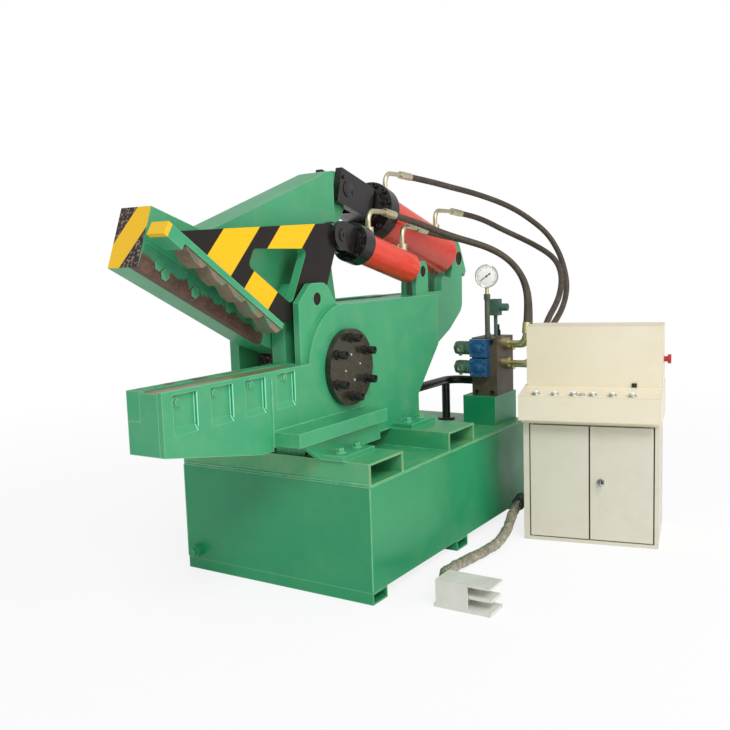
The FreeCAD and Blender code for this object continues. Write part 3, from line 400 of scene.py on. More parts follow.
upper_blade_steel, nodes, shader, place = new_material("upper_blade_tool_steel", roughness=0.65)
rust = mottled(nodes, place, "684a3c", "513c31", "8a6a58", drift_mm=60.0, dust_mm=14.0, dust_share=0.6)[0]
green = mottled(nodes, place, "2f9068", "3c9a70", "6fa37c", drift_mm=90.0, dust_mm=30.0)[0]
EDGE_LINE = 0.5009
spray = add(nodes, "TexNoise", {"Scale": per_metre(55.0), "Detail": 5.0}, {"Vector": place.outputs["Object"]})
height = along(nodes, place, (0.4511, 0, 0.8925))
raised = add(nodes, "Math", {1: 0.09, 2: -0.045}, {0: spray.outputs["Fac"]},
             operation="MULTIPLY_ADD").outputs[0]
above = add(nodes, "Math", links={0: height, 1: raised}, operation="ADD").outputs[0]
painted = add(nodes, "MapRange", {1: EDGE_LINE + 0.04, 2: EDGE_LINE + 0.05}, {0: above}).outputs[0]
nodes.links.new(blend_colour(nodes, painted, rust, green), shader.inputs["Base Color"])
orange_peel(nodes, place, shader, size_mm=3.0, height_mm=0.4, strength=0.6)

lower_blade_steel, nodes, shader, place = new_material("lower_blade_tool_steel", roughness=0.6)
rust = mottled(nodes, place, "6f5442", "57443a", "8f7358", drift_mm=60.0, dust_mm=14.0, dust_share=0.6)[0]
green = mottled(nodes, place, PLATE_GREEN, "44a674", "7aa86c", dust_share=0.5)[0]
# Its lighter edges, here and in the bed below, are part worn paint and part painted highlight.
green = edge_wear_and_highlight(nodes, green, "8fc08c", 0.6)
cut_face = facing(nodes, place, (0, 1, 0))
scrape = add(nodes, "TexNoise", {"Scale": per_metre(70.0), "Detail": 6.0},
             {"Vector": place.outputs["Object"]})
scraped = add(nodes, "MapRange", {1: 0.55, 2: 0.6}, {0: scrape.outputs["Fac"]}).outputs[0]
top_face = facing(nodes, place, (0, 0, 1))
top_bare = add(nodes, "Math", links={0: scraped, 1: top_face}, operation="MULTIPLY").outputs[0]
bare = add(nodes, "Math", links={0: cut_face, 1: top_bare}, operation="MAXIMUM").outputs[0]
nodes.links.new(blend_colour(nodes, bare, green, rust), shader.inputs["Base Color"])
orange_peel(nodes, place, shader, size_mm=3.0, height_mm=0.4, strength=0.5)

bed_paint, nodes, shader, place = new_material("jaw_bed_enamel", coat=0.15)
green, grain = mottled(nodes, place, PLATE_GREEN, "44a674", "6cab74", dust_share=0.45)
green = edge_wear_and_highlight(nodes, green, "8fd0a4", 0.6)
rust = blend_colour(nodes, grain, "8a6242", "a9744c")
low_bed = band(nodes, along(nodes, place, (0, 0, 1)), [(0.838, 0.8625)])
front_part = band(nodes, along(nodes, place, (1, 0, 0)), [(-1.429, -0.74)])
looking_up = facing(nodes, place, (0, 0, 1))
part = add(nodes, "Math", links={0: low_bed, 1: front_part}, operation="MULTIPLY").outputs[0]
worn = add(nodes, "Math", links={0: part, 1: looking_up}, operation="MULTIPLY").outputs[0]
nodes.links.new(blend_colour(nodes, worn, green, rust), shader.inputs["Base Color"])
rough_by(nodes, shader, grain, 0.3, 0.6)
orange_peel(nodes, place, shader)
print("steel ready")

# %% Bare metals and moulded parts


def metal(name, plain, drift, roughness=(0.2, 0.4), grain_mm=20.0):
    made, nodes, shader, place = new_material(name, metallic=1.0)
    tint, grain = mottled(nodes, place, plain, drift, drift, drift_mm=grain_mm * 4, dust_mm=grain_mm)
    nodes.links.new(tint, shader.inputs["Base Color"])
    rough_by(nodes, shader, grain, *roughness)
    return made


def moulded(name, plain, drift, dust, gloss=(0.4, 0.6), peel_mm=4.0):
    made, nodes, shader, place = new_material(name)
    tint, grain = mottled(nodes, place, plain, drift, dust, drift_mm=80.0, dust_mm=18.0, dust_share=0.5)
    nodes.links.new(tint, shader.inputs["Base Color"])
    rough_by(nodes, shader, grain, *gloss)
    orange_peel(nodes, place, shader, size_mm=peel_mm, height_mm=0.2, strength=0.4)
    return made


zinc = metal("pale_zinc_plate", "d9d3b8", "c6bf9f", (0.3, 0.5))
gold_zinc = metal("yellow_zinc_plate", "e6dbb2", "cfc08e", (0.35, 0.55))
chrome = metal("hard_chrome", "d8d9da", "c9cacb", (0.08, 0.16))
bright_steel = metal("bright_nickel_plate", "dcdcd8", "c8c8c2", (0.12, 0.25))
dark_steel = metal("oiled_dark_steel", "4a443f", "383430", (0.35, 0.55), grain_mm=8.0)
block_steel = moulded("manifold_oiled_cast_iron", "5d5142", "4b4136", "766955", (0.4, 0.6))
sleeve_dark = moulded("gauge_sleeve_painted_steel", "4f564a", "43483d", "6f7566", (0.4, 0.6))
screw_black = moulded("black_oxide_screw_steel", "1c1a19", "262322", "3a3634", (0.25, 0.45), peel_mm=2.0)
coil_green = moulded("coil_grey_green_nylon", "4c6f5f", "3f6153", "6d8a7c")
gland_dark = moulded("cable_gland_nylon", "3a3d38", "2d302c", "55584f")
stop_red = moulded("mushroom_button_red_nylon", "b3262c", "a52026", "c0434a", (0.2, 0.35))
hammered = moulded("foot_switch_hammered_paint", "dadad2", "cfcfc6", "e6e5de", (0.35, 0.5), peel_mm=6.0)
rubber = moulded("hose_dusty_rubber", "4a4034", "3a3229", "786b57", (0.55, 0.75), peel_mm=3.0)
dial_white = moulded("dial_white_enamel", "f2f2ee", "ecece8", "e4e4df", (0.3, 0.45))
gland_yellow = moulded("gland_yellow_nylon", "e8cf3a", "dcc233", "f0dc66", (0.35, 0.5))
print("metals and plastics ready")

# %% [markdown]
# ## Dressing the plates
#
# Each solid of the frame has a material slot from the glTF file. Assigning to those slots keeps the mesh
# untouched. The finish goes by part: frame plates, tank, striped arm, jaw and so on.

# %% Give each solid its finish
finishes = {
    frame_green: ["near_side_plate", "lug_plate", "middle_plate", "far_side_plate", "frame_spacers",
                  "base_shelves", "foot_webs", "foot_pads", "clamp_cylinder_ears", "main_cylinder_ears"],
    bed_paint: ["lower_jaw_beam"],
    tank_green: ["oil_tank", "tank_skids", "drain_plug", "valve_stand"],
    lid_green: ["tank_lid", "mounting_rails"],
    jaw_stripes: ["upper_jaw"], arm_stripes: ["clamp_arm"], bar_paint: ["clamp_bar"],
    lower_blade_steel: ["lower_blade"], upper_blade_steel: ["upper_blade"], tooth_steel: ["clamp_teeth"],
    black_enamel: ["main_rod_yoke", "main_cylinder_head", "clamp_rod_fork", "clamp_cylinder_head",
                   "return_pipe"],
    cover_enamel: ["pivot_covers"],
    red_enamel: ["main_barrel", "clamp_barrel"], chrome: ["main_rod", "clamp_rod"],
    dark_steel: ["pivot_pin", "cross_pins"], zinc: ["main_port_fittings", "clamp_port_fittings"],
    gold_zinc: ["manifold_fittings"],
    block_steel: ["manifold_block"], valve_blue: ["solenoid_valves"],
    coil_green: ["solenoid_coils", "pressure_switch"], gland_dark: ["cabinet_gland"],
    bright_steel: ["pressure_gauge", "push_buttons"],
    cream_coat: ["control_desk", "desk_back_panel"], door_coat: ["cabinet_shell", "left_door", "right_door"],
    stop_red: ["emergency_stop"], hammered: ["switch_base", "switch_housing", "foot_pedal"],
}
for finish, names in finishes.items():
    for name in names:
        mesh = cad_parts[name].data
        mesh.materials.clear()
        mesh.materials.append(finish)
print("dressed", sum(len(names) for names in finishes.values()), "solids")

# %% [markdown]
# ## Hydraulic hoses
#
# Four rubber hoses join the cylinders to the manifold. A hose is a fixed length of something stiff, so it
# leaves each fitting straight and bends in one long arc. A NURBS curve with the route's points as its control
# points gives that line. The ends on the cylinders swing a little with the barrels, but the curve becomes a
# mesh tube that stays where it was laid and follows neither.

# %% Hose routes, in millimetres
hose_radius = 15.0
hoses = {
    "main_head_hose": ("main_barrel", 2.03, [
        (504, 45, 1635), (672, 15, 1619), (823, -20, 1597), (971, -50, 1579), (1106, -85, 1554),
        (1214, -130, 1523), (1288, -180, 1485), (1348, -238, 1432), (1384, -315, 1358), (1375, -375, 1272),
        (1344, -420, 1191), (1313, -454, 1082), (1238, -471, 1006), (1133, -488, 953), (1005, -509, 916),
        (864, -533, 886), (720, -575, 850)]),
    "main_rear_hose": ("main_barrel", 1.41, [
        (1053, 45, 1475), (1145, 20, 1462), (1230, -22, 1434), (1286, -76, 1394), (1317, -144, 1356),
        (1324, -221, 1318), (1308, -299, 1279), (1269, -376, 1239), (1208, -441, 1192), (1126, -490, 1134),
        (1026, -525, 1069), (911, -544, 999), (782, -542, 926), (655, -555, 835)]),
    "clamp_head_hose": ("clamp_barrel", 0.97, [
        (91, -104, 1433), (190, -114, 1416), (279, -145, 1391), (359, -191, 1358), (428, -249, 1328),
        (487, -316, 1301), (534, -382, 1268), (567, -439, 1221), (586, -484, 1163), (590, -512, 1092),
        (582, -523, 1012), (565, -523, 928)]),
    "clamp_rear_hose": ("clamp_barrel", 0.87, [
        (385, -98, 1368), (500, -106, 1350), (589, -147, 1335), (652, -209, 1310), (692, -282, 1280),
        (710, -357, 1236), (709, -423, 1176), (691, -473, 1100), (660, -502, 1010), (625, -514, 911)]),
}


def route_curve(name, points, radius_mm, steps=10, sides=5):
    """A NURBS curve through this route; a radius of 0 gives its bare line."""
    data = bpy.data.curves.new(name, "CURVE")
    data.dimensions = "3D"
    data.resolution_u = steps
    data.bevel_depth = radius_mm * MM
    data.bevel_resolution = sides
    data.use_fill_caps = radius_mm > 0
    spline = data.splines.new("NURBS")
    spline.points.add(len(points) - 1)
    for control, point in zip(spline.points, points):
        control.co = (point[0] * MM, point[1] * MM, point[2] * MM, 1)
    spline.order_u = 3
    spline.use_endpoint_u = True
    made = bpy.data.objects.new(name, data)
    scene.collection.objects.link(made)
    bpy.context.view_layer.update()
    return made


def curve_mesh(name, points, radius_mm, steps=10, sides=5):
    """The mesh that the route's NURBS curve gives; the curve itself is taken away again."""
    line = route_curve(name + "_line", points, radius_mm, steps, sides)
    mesh = bpy.data.meshes.new_from_object(line.evaluated_get(bpy.context.evaluated_depsgraph_get()))
    bpy.data.objects.remove(line)
    mesh.name = name
    return mesh


def centre_line(name, points, steps=10):
    line = curve_mesh(name + "_path", points, 0.0, steps)
    found = [vertex.co.copy() for vertex in line.vertices]
    bpy.data.meshes.remove(line)
    return found


for name, (body, length, route) in hoses.items():
    mesh = curve_mesh(name + "_tube", route, hose_radius)
    mesh.materials.clear()
    mesh.materials.append(rubber)
    hose = bpy.data.objects.new(name + "_tube", mesh)
    scene.collection.objects.link(hose)
    for polygon in mesh.polygons:
        polygon.use_smooth = True
    path = centre_line(name, route)
    run = sum((b - a).length for a, b in zip(path, path[1:]))
    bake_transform(hose)
    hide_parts(name)
    print(name, "run", round(run, 3), "declared", length)

# %% [markdown]
# ## The foot switch's cable
#
# The cable to the foot switch lies on the floor in a sleeve of clear film, crumpled and dusty, so it looks
# brown-grey with bright creases; its pale patches are part dust and part a painted highlight of the film. The
# film could be cloth, simulated over the cable, but its folds are only a few millimetres deep. Moving the
# tube's own points in and out with a noise gives the same look at once.

# %% Crumpled cable sleeve
cable_radius = 25.0
cable_route = [(-513.9, -638.2, 48), (-432.8, -581.4, 48), (-319, -558, 28), (-190, -568, 27),
               (-60, -590, 27), (60, -598, 32), (160, -592, 62), (258.9, -575.1, 110), (371.5, -551.8, 110)]
film, nodes, shader, place = new_material("crumpled_clear_film", coat=0.6)
# The pale patches in the film's colour are part dust and part a painted highlight of its creases.
tint, grain = mottled(nodes, place, "8b8270", "756c5c", "c9c4b6", drift_mm=70.0, dust_mm=22.0, dust_share=0.8)
nodes.links.new(tint, shader.inputs["Base Color"])
rough_by(nodes, shader, grain, 0.18, 0.4)
creases = add(nodes, "TexNoise", {"Scale": per_metre(16.0), "Detail": 5.0, "Roughness": 0.7},
              {"Vector": place.outputs["Object"]})
folds = add(nodes, "Bump", {"Strength": 0.8, "Distance": 0.004}, {"Height": creases.outputs["Fac"]})
nodes.links.new(folds.outputs[0], shader.inputs["Normal"])

cable_path = centre_line("foot_cable", cable_route, 16)
mesh = curve_mesh("foot_cable_sleeve", cable_route, cable_radius - 4, 24, 8)
mesh.materials.clear()
mesh.materials.append(film)
for vertex in mesh.vertices:
    nearest = min(cable_path, key=lambda point: (point - vertex.co).length_squared)
    outward = (vertex.co - nearest).normalized()
    fold = noise.noise(vertex.co * 38.0) * 0.7 + noise.noise(vertex.co * 90.0) * 0.5
    vertex.co += outward * (fold * 4.5 * MM)
    vertex.co.z = max(vertex.co.z, 0.001)
for polygon in mesh.polygons:
    polygon.use_smooth = True
sleeve = bpy.data.objects.new("foot_cable_sleeve", mesh)
scene.collection.objects.link(sleeve)
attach(sleeve, "machine")
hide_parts("foot_cable")
print("cable", round(sum((b - a).length for a, b in zip(cable_path, cable_path[1:])), 3), "m")

# %% [markdown]
# ## Screws
#
# Every cover and foot is held by screws, and they are what the eye counts on a machine. One screw is a short
# cone with as many sides as its head, its upper edge bevelled and its socket pushed in. All the screws of one
# place go into one mesh, so that the part stays light.

# %% Screw and piece helpers


def placed(at, axis):
    """A matrix that stands a shape made along Z at this point, along this axis."""
    turn = Vector((0, 0, 1)).rotation_difference(Vector(axis).normalized()).to_matrix().to_4x4()
    return Matrix.Translation(Vector(at) * MM) @ turn


def add_stub(shape, at, axis, radius, height, sides=24, bevel=1.0, socket=0.0, taper=1.0):
    """A round or hexagonal head that stands on a face; socket is the radius of its hexagon hole."""
    body = bmesh.ops.create_cone(shape, cap_ends=True, segments=sides, radius1=radius * MM,
                                 radius2=radius * taper * MM, depth=height * MM,
                                 matrix=Matrix.Translation((0, 0, height / 2 * MM)))
    made = body["verts"]
    faces = {face for vertex in made for face in vertex.link_faces}
    top = max(faces, key=lambda face: face.calc_center_median().z)
    rounded = bmesh.ops.bevel(shape, geom=list(top.edges), offset=bevel * MM, offset_type="OFFSET",
                              segments=2, profile=0.5, affect="EDGES", material=-1)
    faces = set(rounded["faces"]) | {face for vertex in rounded["verts"] for face in vertex.link_faces}
    top = max(faces, key=lambda face: (round(face.calc_center_median().z, 6), face.calc_area()))
    if socket:
        bmesh.ops.inset_region(shape, faces=[top], thickness=(radius - bevel - socket) * MM)
        for vertex in top.verts:
            vertex.co.z -= height * 0.55 * MM
    own = {vertex for face in faces for vertex in face.verts} | {v for v in made if v.is_valid}
    grown = set(own)
    while True:
        more = {edge.other_vert(v) for v in grown for edge in v.link_edges} - grown
        if not more:
            break
        grown |= more
    bmesh.ops.transform(shape, matrix=placed(at, axis), verts=list(grown))


def add_block(shape, low, high, bevel=1.5, turn=None):
    """A rectangular block between two corners with rounded edges; turn places it if it was made elsewhere."""
    size = [abs(b - a) for a, b in zip(low, high)]
    middle = [(a + b) / 2 for a, b in zip(low, high)]
    matrix = Matrix.Translation(Vector(middle) * MM) @ Matrix.Diagonal(Vector(size + [1000.0]) * MM)
    made = bmesh.ops.create_cube(shape, size=1.0, matrix=matrix)["verts"]
    edges = list({edge for vertex in made for edge in vertex.link_edges})
    rounded = bmesh.ops.bevel(shape, geom=edges, offset=bevel * MM, offset_type="OFFSET", segments=2,
                              profile=0.5, affect="EDGES", material=-1)
    if turn is not None:
        verts = {v for face in rounded["faces"] for v in face.verts} | {v for v in made if v.is_valid}
        bmesh.ops.transform(shape, matrix=turn, verts=list(verts))


def finish_piece(name, shape, body, finish, sharp=35.0):
    """Turn a bmesh into a piece that rides on a body, with its sharp edges kept."""
    bmesh.ops.recalc_face_normals(shape, faces=shape.faces)
    mesh = bpy.data.meshes.new(name)
    shape.to_mesh(mesh)
    shape.free()
    for polygon in mesh.polygons:
        polygon.use_smooth = True
    mesh.set_sharp_from_angle(angle=math.radians(sharp))
    mesh.materials.append(finish)
    made = bpy.data.objects.new(name, mesh)
    scene.collection.objects.link(made)
    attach(made, body)
    print(name, len(mesh.polygons), "faces")
    return made


# %% Cap screws of the pivot covers
pivot = (-425.0, 825.0)
cover_face = 196.0
shape = bmesh.new()
for side in (-1, 1):
    for i in range(6):
        turn = math.radians(30 + 60 * i)
        x = pivot[0] + 116 * math.cos(turn)
        z = pivot[1] + 116 * math.sin(turn)
        add_stub(shape, (x, side * cover_face, z), (0, side, 0), 20, 8, 24, 1.5)
        add_stub(shape, (x, side * (cover_face + 8), z), (0, side, 0), 11, 12, 20, 0.5)
        add_stub(shape, (x, side * (cover_face + 18), z), (0, side, 0), 16, 26, 24, 2.0, 8.0)
finish_piece("pivot_cover_screws", shape, "machine", screw_black)
shape = bmesh.new()
for side in (-1, 1):
    for i in range(4):
        turn = math.radians(10 + 90 * i)
        add_stub(shape, (pivot[0] + 52 * math.cos(turn), side * cover_face, pivot[1] + 52 * math.sin(turn)),
                 (0, side, 0), 5, 3, 12, 0.6, 2.0)
finish_piece("pivot_cover_plugs", shape, "machine", bright_steel)

# %% Bolts of the feet
shape = bmesh.new()
pad_top = 542.0
for side in (-1, 1):
    for x in (-630 - 55, -630 + 55):
        add_stub(shape, (x, side * 300, pad_top), (0, 0, 1), 22, 4, 24, 0.8)
        add_stub(shape, (x, side * 300, pad_top + 4), (0, 0, 1), 17, 15, 6, 1.5)
    for x in (10 - 55, 10 + 55):
        add_stub(shape, (x, side * 220, pad_top), (0, 0, 1), 22, 4, 24, 0.8)
        add_stub(shape, (x, side * 220, pad_top + 4), (0, 0, 1), 17, 15, 6, 1.5)
finish_piece("foot_bolts", shape, "machine", frame_green)

# %% Bolts and edge beads in the pockets of the lower jaw, the beads' pale green a painted highlight, and bolts along the upper blade
shape = bmesh.new()
for x, z in ((-1363, 827), (-1196, 833), (-1010, 833), (-822, 833)):
    add_stub(shape, (x, -158, z), (0, -1, 0), 17, 3, 24, 1.0)
    add_stub(shape, (x, -161, z), (0, -1, 0), 13, 8, 6, 1.5)
finish_piece("jaw_pocket_bolts", shape, "machine", frame_green)
# The beads along the pockets' right walls are pale green as a painted highlight on the weld edges.
highlight_green_paint = enamel("painted_highlight_green_enamel", "7fdcb4", "8fe3bd", "b5efd0", gloss=(0.2, 0.3), coat=0.4,
                      dust_share=0.3)
shape = bmesh.new()
for i in range(4):
    x = -1385 + 170 * i + 105
    for start, stop in (((x, -170, 738), (x, -170, 849)), ((x - 3, -159.5, 748), (x - 3, -159.5, 849)),
                        ((x - 4, -160, 746), (x - 1, -170, 724))):
        a, b = Vector(start), Vector(stop)
        add_stub(shape, start, tuple(b - a), 2.6, (b - a).length, 10, 1.0)
finish_piece("jaw_pocket_edge_highlight_beads", shape, "machine", highlight_green_paint)
shape = bmesh.new()
blade_along = Vector((0.8925, 0, -0.4511))
blade_up = Vector((0.4511, 0, 0.8925))
blade_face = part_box("upper_blade")[0][1] / MM
blade_gap = blade_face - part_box("lower_blade")[1][1] / MM
for distance, rise in ((80, 47), (117, 29), (265, 33), (441, 54)):
    spot = Vector((-1347, blade_face, 1242)) + blade_along * distance + blade_up * rise
    add_stub(shape, tuple(spot), (0, -1, 0), 21, blade_gap * 0.5, 6, blade_gap * 0.15)
print("blades pass", round(blade_gap, 2), "mm apart, so the heads stand out half of that")
finish_piece("upper_blade_bolts", shape, "upper_jaw", jaw_stripes)
print("bolts ready")

# %% [markdown]
# ## Cylinder heads, yokes and pins
#
# The cylinder heads are thick black flanges, held to the barrel by a ring of cap screws. The pins of the yoke
# and the fork show as round ends with small screws. They are short stubs that lie across the cylinder's axis.

# %% Screws round the flanges
eye_main, tail_main = Vector((-137, 54.5, 1543)), Vector((888, 54.5, 1235))
eye_clamp, tail_clamp = Vector((-370, -101, 1343)), Vector((272, -101, 1182))


def ring_of_screws(shape, eye, tail, start, ring, count, radius, height, socket, shift=0.0):
    """Cap screws on the face of a flange, pointing towards the rod eye."""
    direction = (tail - eye).normalized()
    side = Vector((0, 1, 0))
    across = direction.cross(side)
    for i in range(count):
        turn = 2 * math.pi * (i + shift) / count
        spot = eye + direction * start + (side * math.cos(turn) + across * math.sin(turn)) * ring
        add_stub(shape, tuple(spot), tuple(-direction), radius, height, 20, 1.2, socket)


shape = bmesh.new()
ring_of_screws(shape, eye_main, tail_main, 262, 113, 12, 11, 14, 5.5, 0.5)
finish_piece("main_flange_screws", shape, "main_barrel", screw_black)
shape = bmesh.new()
ring_of_screws(shape, eye_clamp, tail_clamp, 102, 70, 10, 8, 9, 4, 0.5)
finish_piece("clamp_flange_screws", shape, "clamp_barrel", screw_black)

# %% Pin ends and their screws
shape = bmesh.new()
for side in (-1, 1):
    face = 54.5 + side * 67.5
    add_stub(shape, (-137, face, 1543), (0, side, 0), 34, 4, 40, 1.5)
    for dx, dz in ((-34, 34), (34, -34)):
        add_stub(shape, (-137 + dx * 0.9, face, 1543 + dz * 0.9 + 18), (0, side, 0), 8, 7, 6, 1.0)
finish_piece("main_yoke_pin_ends", shape, "main_rod", screw_black)
shape = bmesh.new()
for side in (-1, 1):
    face = -101 + side * 36
    add_stub(shape, (-370, face, 1343), (0, side, 0), 27, 5, 36, 1.5)
    add_stub(shape, (-370, face + side * 5, 1343), (0, side, 0), 10, 4, 6, 1.0)
finish_piece("clamp_fork_pin_ends", shape, "clamp_rod", screw_black)

# %% [markdown]
# ## Weld beads
#
# Plates meet in fillet welds that were painted over. From here they are thin bright lines: a round bead
# catches some light, and the beads are also coloured a lighter green than the plates, a painted highlight.
# Each is a slim many-sided rod laid along the seam, with a bump like stacked coins.

# %% Welds on the tank and the frame
weld_paint_and_highlight, nodes, shader, place = new_material("weld_green_highlight_enamel", coat=0.35)
# This green is lighter than the plates' paint: a painted highlight along the seams.
tint, grain = mottled(nodes, place, "43a878", "5ab487", "9cc795", dust_share=0.6)
nodes.links.new(tint, shader.inputs["Base Color"])
rough_by(nodes, shader, grain, 0.22, 0.4)
ripple = add(nodes, "TexWave", {"Scale": per_metre(40.0), "Distortion": 1.5},
             {"Vector": place.outputs["Object"]}, bands_direction="DIAGONAL")
coins = add(nodes, "Bump", {"Strength": 0.6, "Distance": 0.0015}, {"Height": ripple.outputs["Fac"]})
nodes.links.new(coins.outputs[0], shader.inputs["Normal"])


def add_bead(shape, start, stop, radius=4.0):
    """A weld bead from one point to another, with closed ends."""
    a, b = Vector(start), Vector(stop)
    add_stub(shape, tuple(a), tuple(b - a), radius, (b - a).length, 10, radius * 0.4)


shape = bmesh.new()
for x in (-725, 725):
    for y in (-450, 450):
        add_bead(shape, (x, y, 50), (x, y, 434), 3.0)
    add_bead(shape, (x, -446, 436), (x, 446, 436), 3.0)
for y in (-450, 450):
    add_bead(shape, (-721, y, 436), (721, y, 436), 3.0)
finish_piece("tank_welds", shape, "machine", weld_paint_and_highlight)
shape = bmesh.new()
add_bead(shape, (-905, -171, 596), (-905, -171, 842), 4.0)
for side in (-1, 1):
    add_bead(shape, (-900, side * 171, 651), (-325, side * 171, 651), 4.0)
    add_bead(shape, (-735, side * 226, 523), (-325, side * 226, 523), 4.0)
for x in (-725, -483, -107, 135):
    add_bead(shape, (x, -446, 445), (x, 446, 445), 4.0)
add_bead(shape, (-700, -171, 523), (145, -171, 523), 4.0)
finish_piece("frame_welds", shape, "machine", weld_paint_and_highlight)

# %% [markdown]
# ## Gauge, valves and coils
#
# The gauge's dial is white enamel with black marks and a thin needle under a bright rim. The marks could be a
# texture, but small raised bars read better in close views. The blue valves have four screws and a raised
# plate each, and their coils carry square plugs.

# %% Gauge face
# The rim keeps the solid's radius and centre. The gauge is turned about its own stem, because its dial shows
# as a full circle in the photograph.
GAUGE_RADIUS = 55.0
RIM_RADIUS = 3.5
GAUGE_TURN = math.radians(24.7)
gauge_centre = Vector((515, -347, 1149))
gauge_turn = Matrix.Translation(gauge_centre * MM) @ Matrix.Rotation(GAUGE_TURN, 4, "Z")
gauge_way = tuple(gauge_turn.to_3x3() @ Vector((-1, 0, 0)))


def gauge_point(forward, across, height):
    return tuple(gauge_turn @ (Vector((-forward, across, height)) * MM) / MM)


shape = bmesh.new()
add_stub(shape, gauge_point(-17, 0, 0), gauge_way, GAUGE_RADIUS - 1, 30, 56, 4.0)
case = finish_piece("gauge_case", shape, "machine", bright_steel)
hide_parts("pressure_gauge")
shape = bmesh.new()
add_stub(shape, (gauge_centre.x, gauge_centre.y, 858), (0, 0, 1), 12, 180, 28, 0.8)
add_stub(shape, (gauge_centre.x, gauge_centre.y, 1038), (0, 0, 1), 17, 27, 6, 2.0)
finish_piece("gauge_sleeve", shape, "machine", sleeve_dark)
shape = bmesh.new()
add_stub(shape, (gauge_centre.x, gauge_centre.y, 1065), (0, 0, 1), 9, 36, 24, 0.8)
finish_piece("gauge_neck", shape, "machine", gold_zinc)
shape = bmesh.new()
add_stub(shape, gauge_point(13, 0, 0), gauge_way, GAUGE_RADIUS - 5, 1.2, 56, 0.4)
finish_piece("gauge_dial", shape, "machine", dial_white)
shape = bmesh.new()
rim = bmesh.ops.create_circle(shape, segments=12, radius=RIM_RADIUS * MM)["verts"]
ring_place = Matrix.Translation(Vector(((GAUGE_RADIUS - RIM_RADIUS) * MM, 0, 0)))
bmesh.ops.transform(shape, matrix=ring_place @ Matrix.Rotation(math.pi / 2, 4, "X"), verts=rim)
bmesh.ops.spin(shape, geom=shape.verts[:] + shape.edges[:], cent=(0, 0, 0), axis=(0, 0, 1), angle=2 * math.pi,
               steps=56, use_merge=True)
bmesh.ops.transform(shape, matrix=placed(gauge_point(14, 0, 0), gauge_way), verts=shape.verts)
finish_piece("gauge_rim", shape, "machine", bright_steel)
shape = bmesh.new()
for i in range(31):
    marks = gauge_turn @ Matrix.Rotation(math.radians(-45 + 9 * i), 4, "X")
    reach = 8 if i % 5 == 0 else 4
    add_block(shape, (-15.2, 45 - reach, -0.7), (-14.2, 45, 0.7), 0.2, marks)
needle = gauge_turn @ Matrix.Rotation(math.radians(-36), 4, "X")
add_block(shape, (-17.0, -20, -1.3), (-16.0, 36, 1.3), 0.3, needle)
add_block(shape, (-17.2, -21, -3.5), (-15.8, -12, 3.5), 0.4, needle)
add_stub(shape, gauge_point(14, 0, 0), gauge_way, 4.5, 4, 16, 0.5)
finish_piece("gauge_marks", shape, "machine", screw_black)

# %% Valve and manifold details
VALVE_HEIGHTS = (721, 812)
shape = bmesh.new()
for z in VALVE_HEIGHTS:
    for dy in (-30, 30):
        for dz in (-30, 30):
            add_stub(shape, (454, -322 + dy, z + dz), (-1, 0, 0), 6, 6, 16, 0.8, 3.0)
    add_stub(shape, (454, -352, z), (-1, 0, 0), 9, 9, 6, 1.0)
finish_piece("valve_screws", shape, "machine", valve_blue)
shape = bmesh.new()
for z in VALVE_HEIGHTS:
    add_block(shape, (449, -345, z - 18), (454, -299, z + 18), 1.5)
    add_stub(shape, (449, -322, z), (-1, 0, 0), 13, 5, 28, 1.0)
finish_piece("valve_plates", shape, "machine", valve_blue)
shape = bmesh.new()
for z in VALVE_HEIGHTS:
    for i in range(4):
        add_stub(shape, (469.7, -272 + 16 * i, z), (0, 1, 0), 32.5, 7, 32, 1.2)
    add_block(shape, (418, -262, z - 17), (441, -228, z + 17), 3.0)
    add_stub(shape, (430, -245, z - 17), (0, 0, -1), 8, 16, 20, 1.0)
    add_stub(shape, (469.7, -206, z), (0, 1, 0), 13, 12, 6, 1.0)
finish_piece("coil_ribs_and_plugs", shape, "machine", coil_green)
shape = bmesh.new()
for z in VALVE_HEIGHTS:
    add_stub(shape, (418, -247, z), (-1, 0, 0), 14, 4, 28, 1.2, 5.0)
finish_piece("coil_plug_caps", shape, "machine", zinc)
shape = bmesh.new()
for dy in (25, 105):
    for z in (600, 841):
        add_stub(shape, (500, -400 + dy, z), (-1, 0, 0), 9, 9, 20, 1.0, 4.5)
add_stub(shape, (545, -335, 858), (0, 0, 1), 14, 22, 6, 1.5)
add_stub(shape, (660, -335, 858), (0, 0, 1), 15, 26, 6, 1.5)
add_stub(shape, (660, -335, 884), (0, 0, 1), 9, 26, 20, 1.0)
finish_piece("manifold_plugs", shape, "machine", dark_steel)

# %% [markdown]
# ## Cabinet fittings
#
# The cabinet stands turned by 11.7 degrees, so its details are made in its own directions, u along the front,
# v to the back and up, and one matrix places them. The buttons get bright bezels, the right door its lock
# with the key in it.

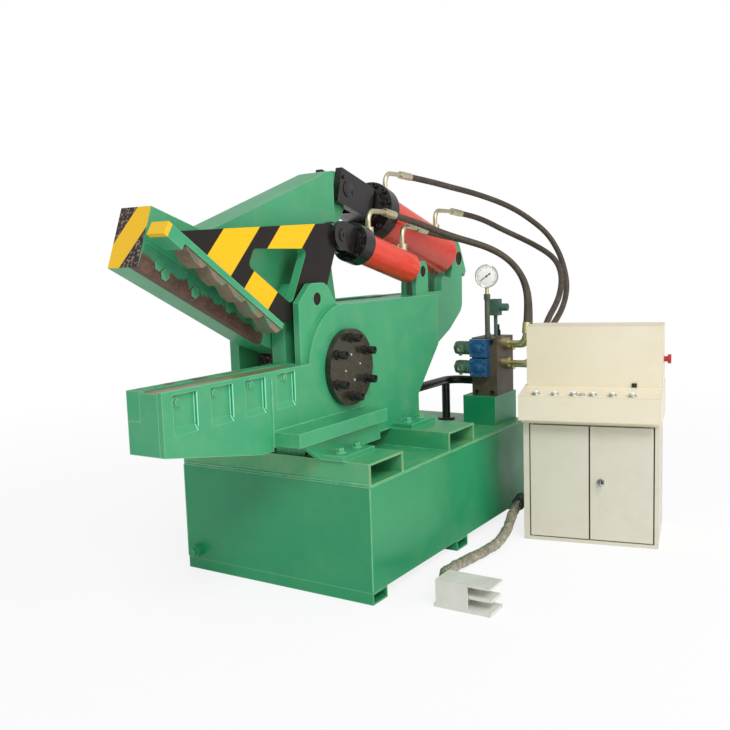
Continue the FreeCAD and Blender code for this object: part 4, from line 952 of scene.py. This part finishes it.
# %% Buttons, lock and key
CABINET_TURN = math.radians(-90 + 11.7)
cabinet = Matrix.Translation(Vector((236, -637, 0)) * MM) @ Matrix.Rotation(CABINET_TURN, 4, "Z")


def cabinet_point(u, v, z):
    spot = cabinet @ (Vector((u, v, z)) * MM)
    return tuple(spot / MM)


def cabinet_way(u, v, z):
    return tuple(cabinet.to_3x3() @ Vector((u, v, z)))


rise = 23 / 160
desk_up = cabinet_way(0, -rise, 1)
shape = bmesh.new()
for i in range(6):
    at = cabinet_point(61 + 79 * i, -30, 645 + rise * 30)
    add_stub(shape, at, desk_up, 20, 5, 32, 1.5)
at = cabinet_point(61 + 79 * 2.45, -30, 645 + rise * 30)
add_stub(shape, at, desk_up, 13, 7, 32, 1.5)
finish_piece("button_bezels", shape, "machine", bright_steel)
shape = bmesh.new()
for i in range(6):
    at = cabinet_point(61 + 79 * i, -31.8, 657 + rise * 30)
    add_stub(shape, at, desk_up, 11, 4, 28, 1.8)
finish_piece("button_caps", shape, "machine", dial_white)
shape = bmesh.new()
add_block(shape, (445.5, 94, 669), (466.5, 100, 686), 1.0, cabinet)
finish_piece("selector_plate", shape, "machine", screw_black)
shape = bmesh.new()
front = cabinet_way(0, -1, 0)
add_stub(shape, cabinet_point(327, 0, 273), front, 16, 7, 32, 2.0, 10.0)
add_block(shape, (325.5, -24, 264), (328.5, -3, 282), 0.8, cabinet)
add_block(shape, (325.8, -22, 238), (328.2, -15, 264), 0.8, cabinet)
finish_piece("door_lock_and_key", shape, "right_door", bright_steel)
shape = bmesh.new()
add_stub(shape, cabinet_point(327, -1, 273), front, 9, 2.5, 28, 0.5)
finish_piece("door_lock_barrel", shape, "right_door", screw_black)

# %% Yellow gland of the foot switch
shape = bmesh.new()
gland_way = Vector((0.8192, 0.5736, 0))
gland_end = Vector((-513.9, -638.2, 48))
add_stub(shape, tuple(gland_end - gland_way * 26), tuple(gland_way), 33, 14, 6, 2.0)
add_stub(shape, tuple(gland_end - gland_way * 12), tuple(gland_way), 30, 20, 28, 5.0)
finish_piece("foot_switch_gland_nut", shape, "machine", gland_yellow)
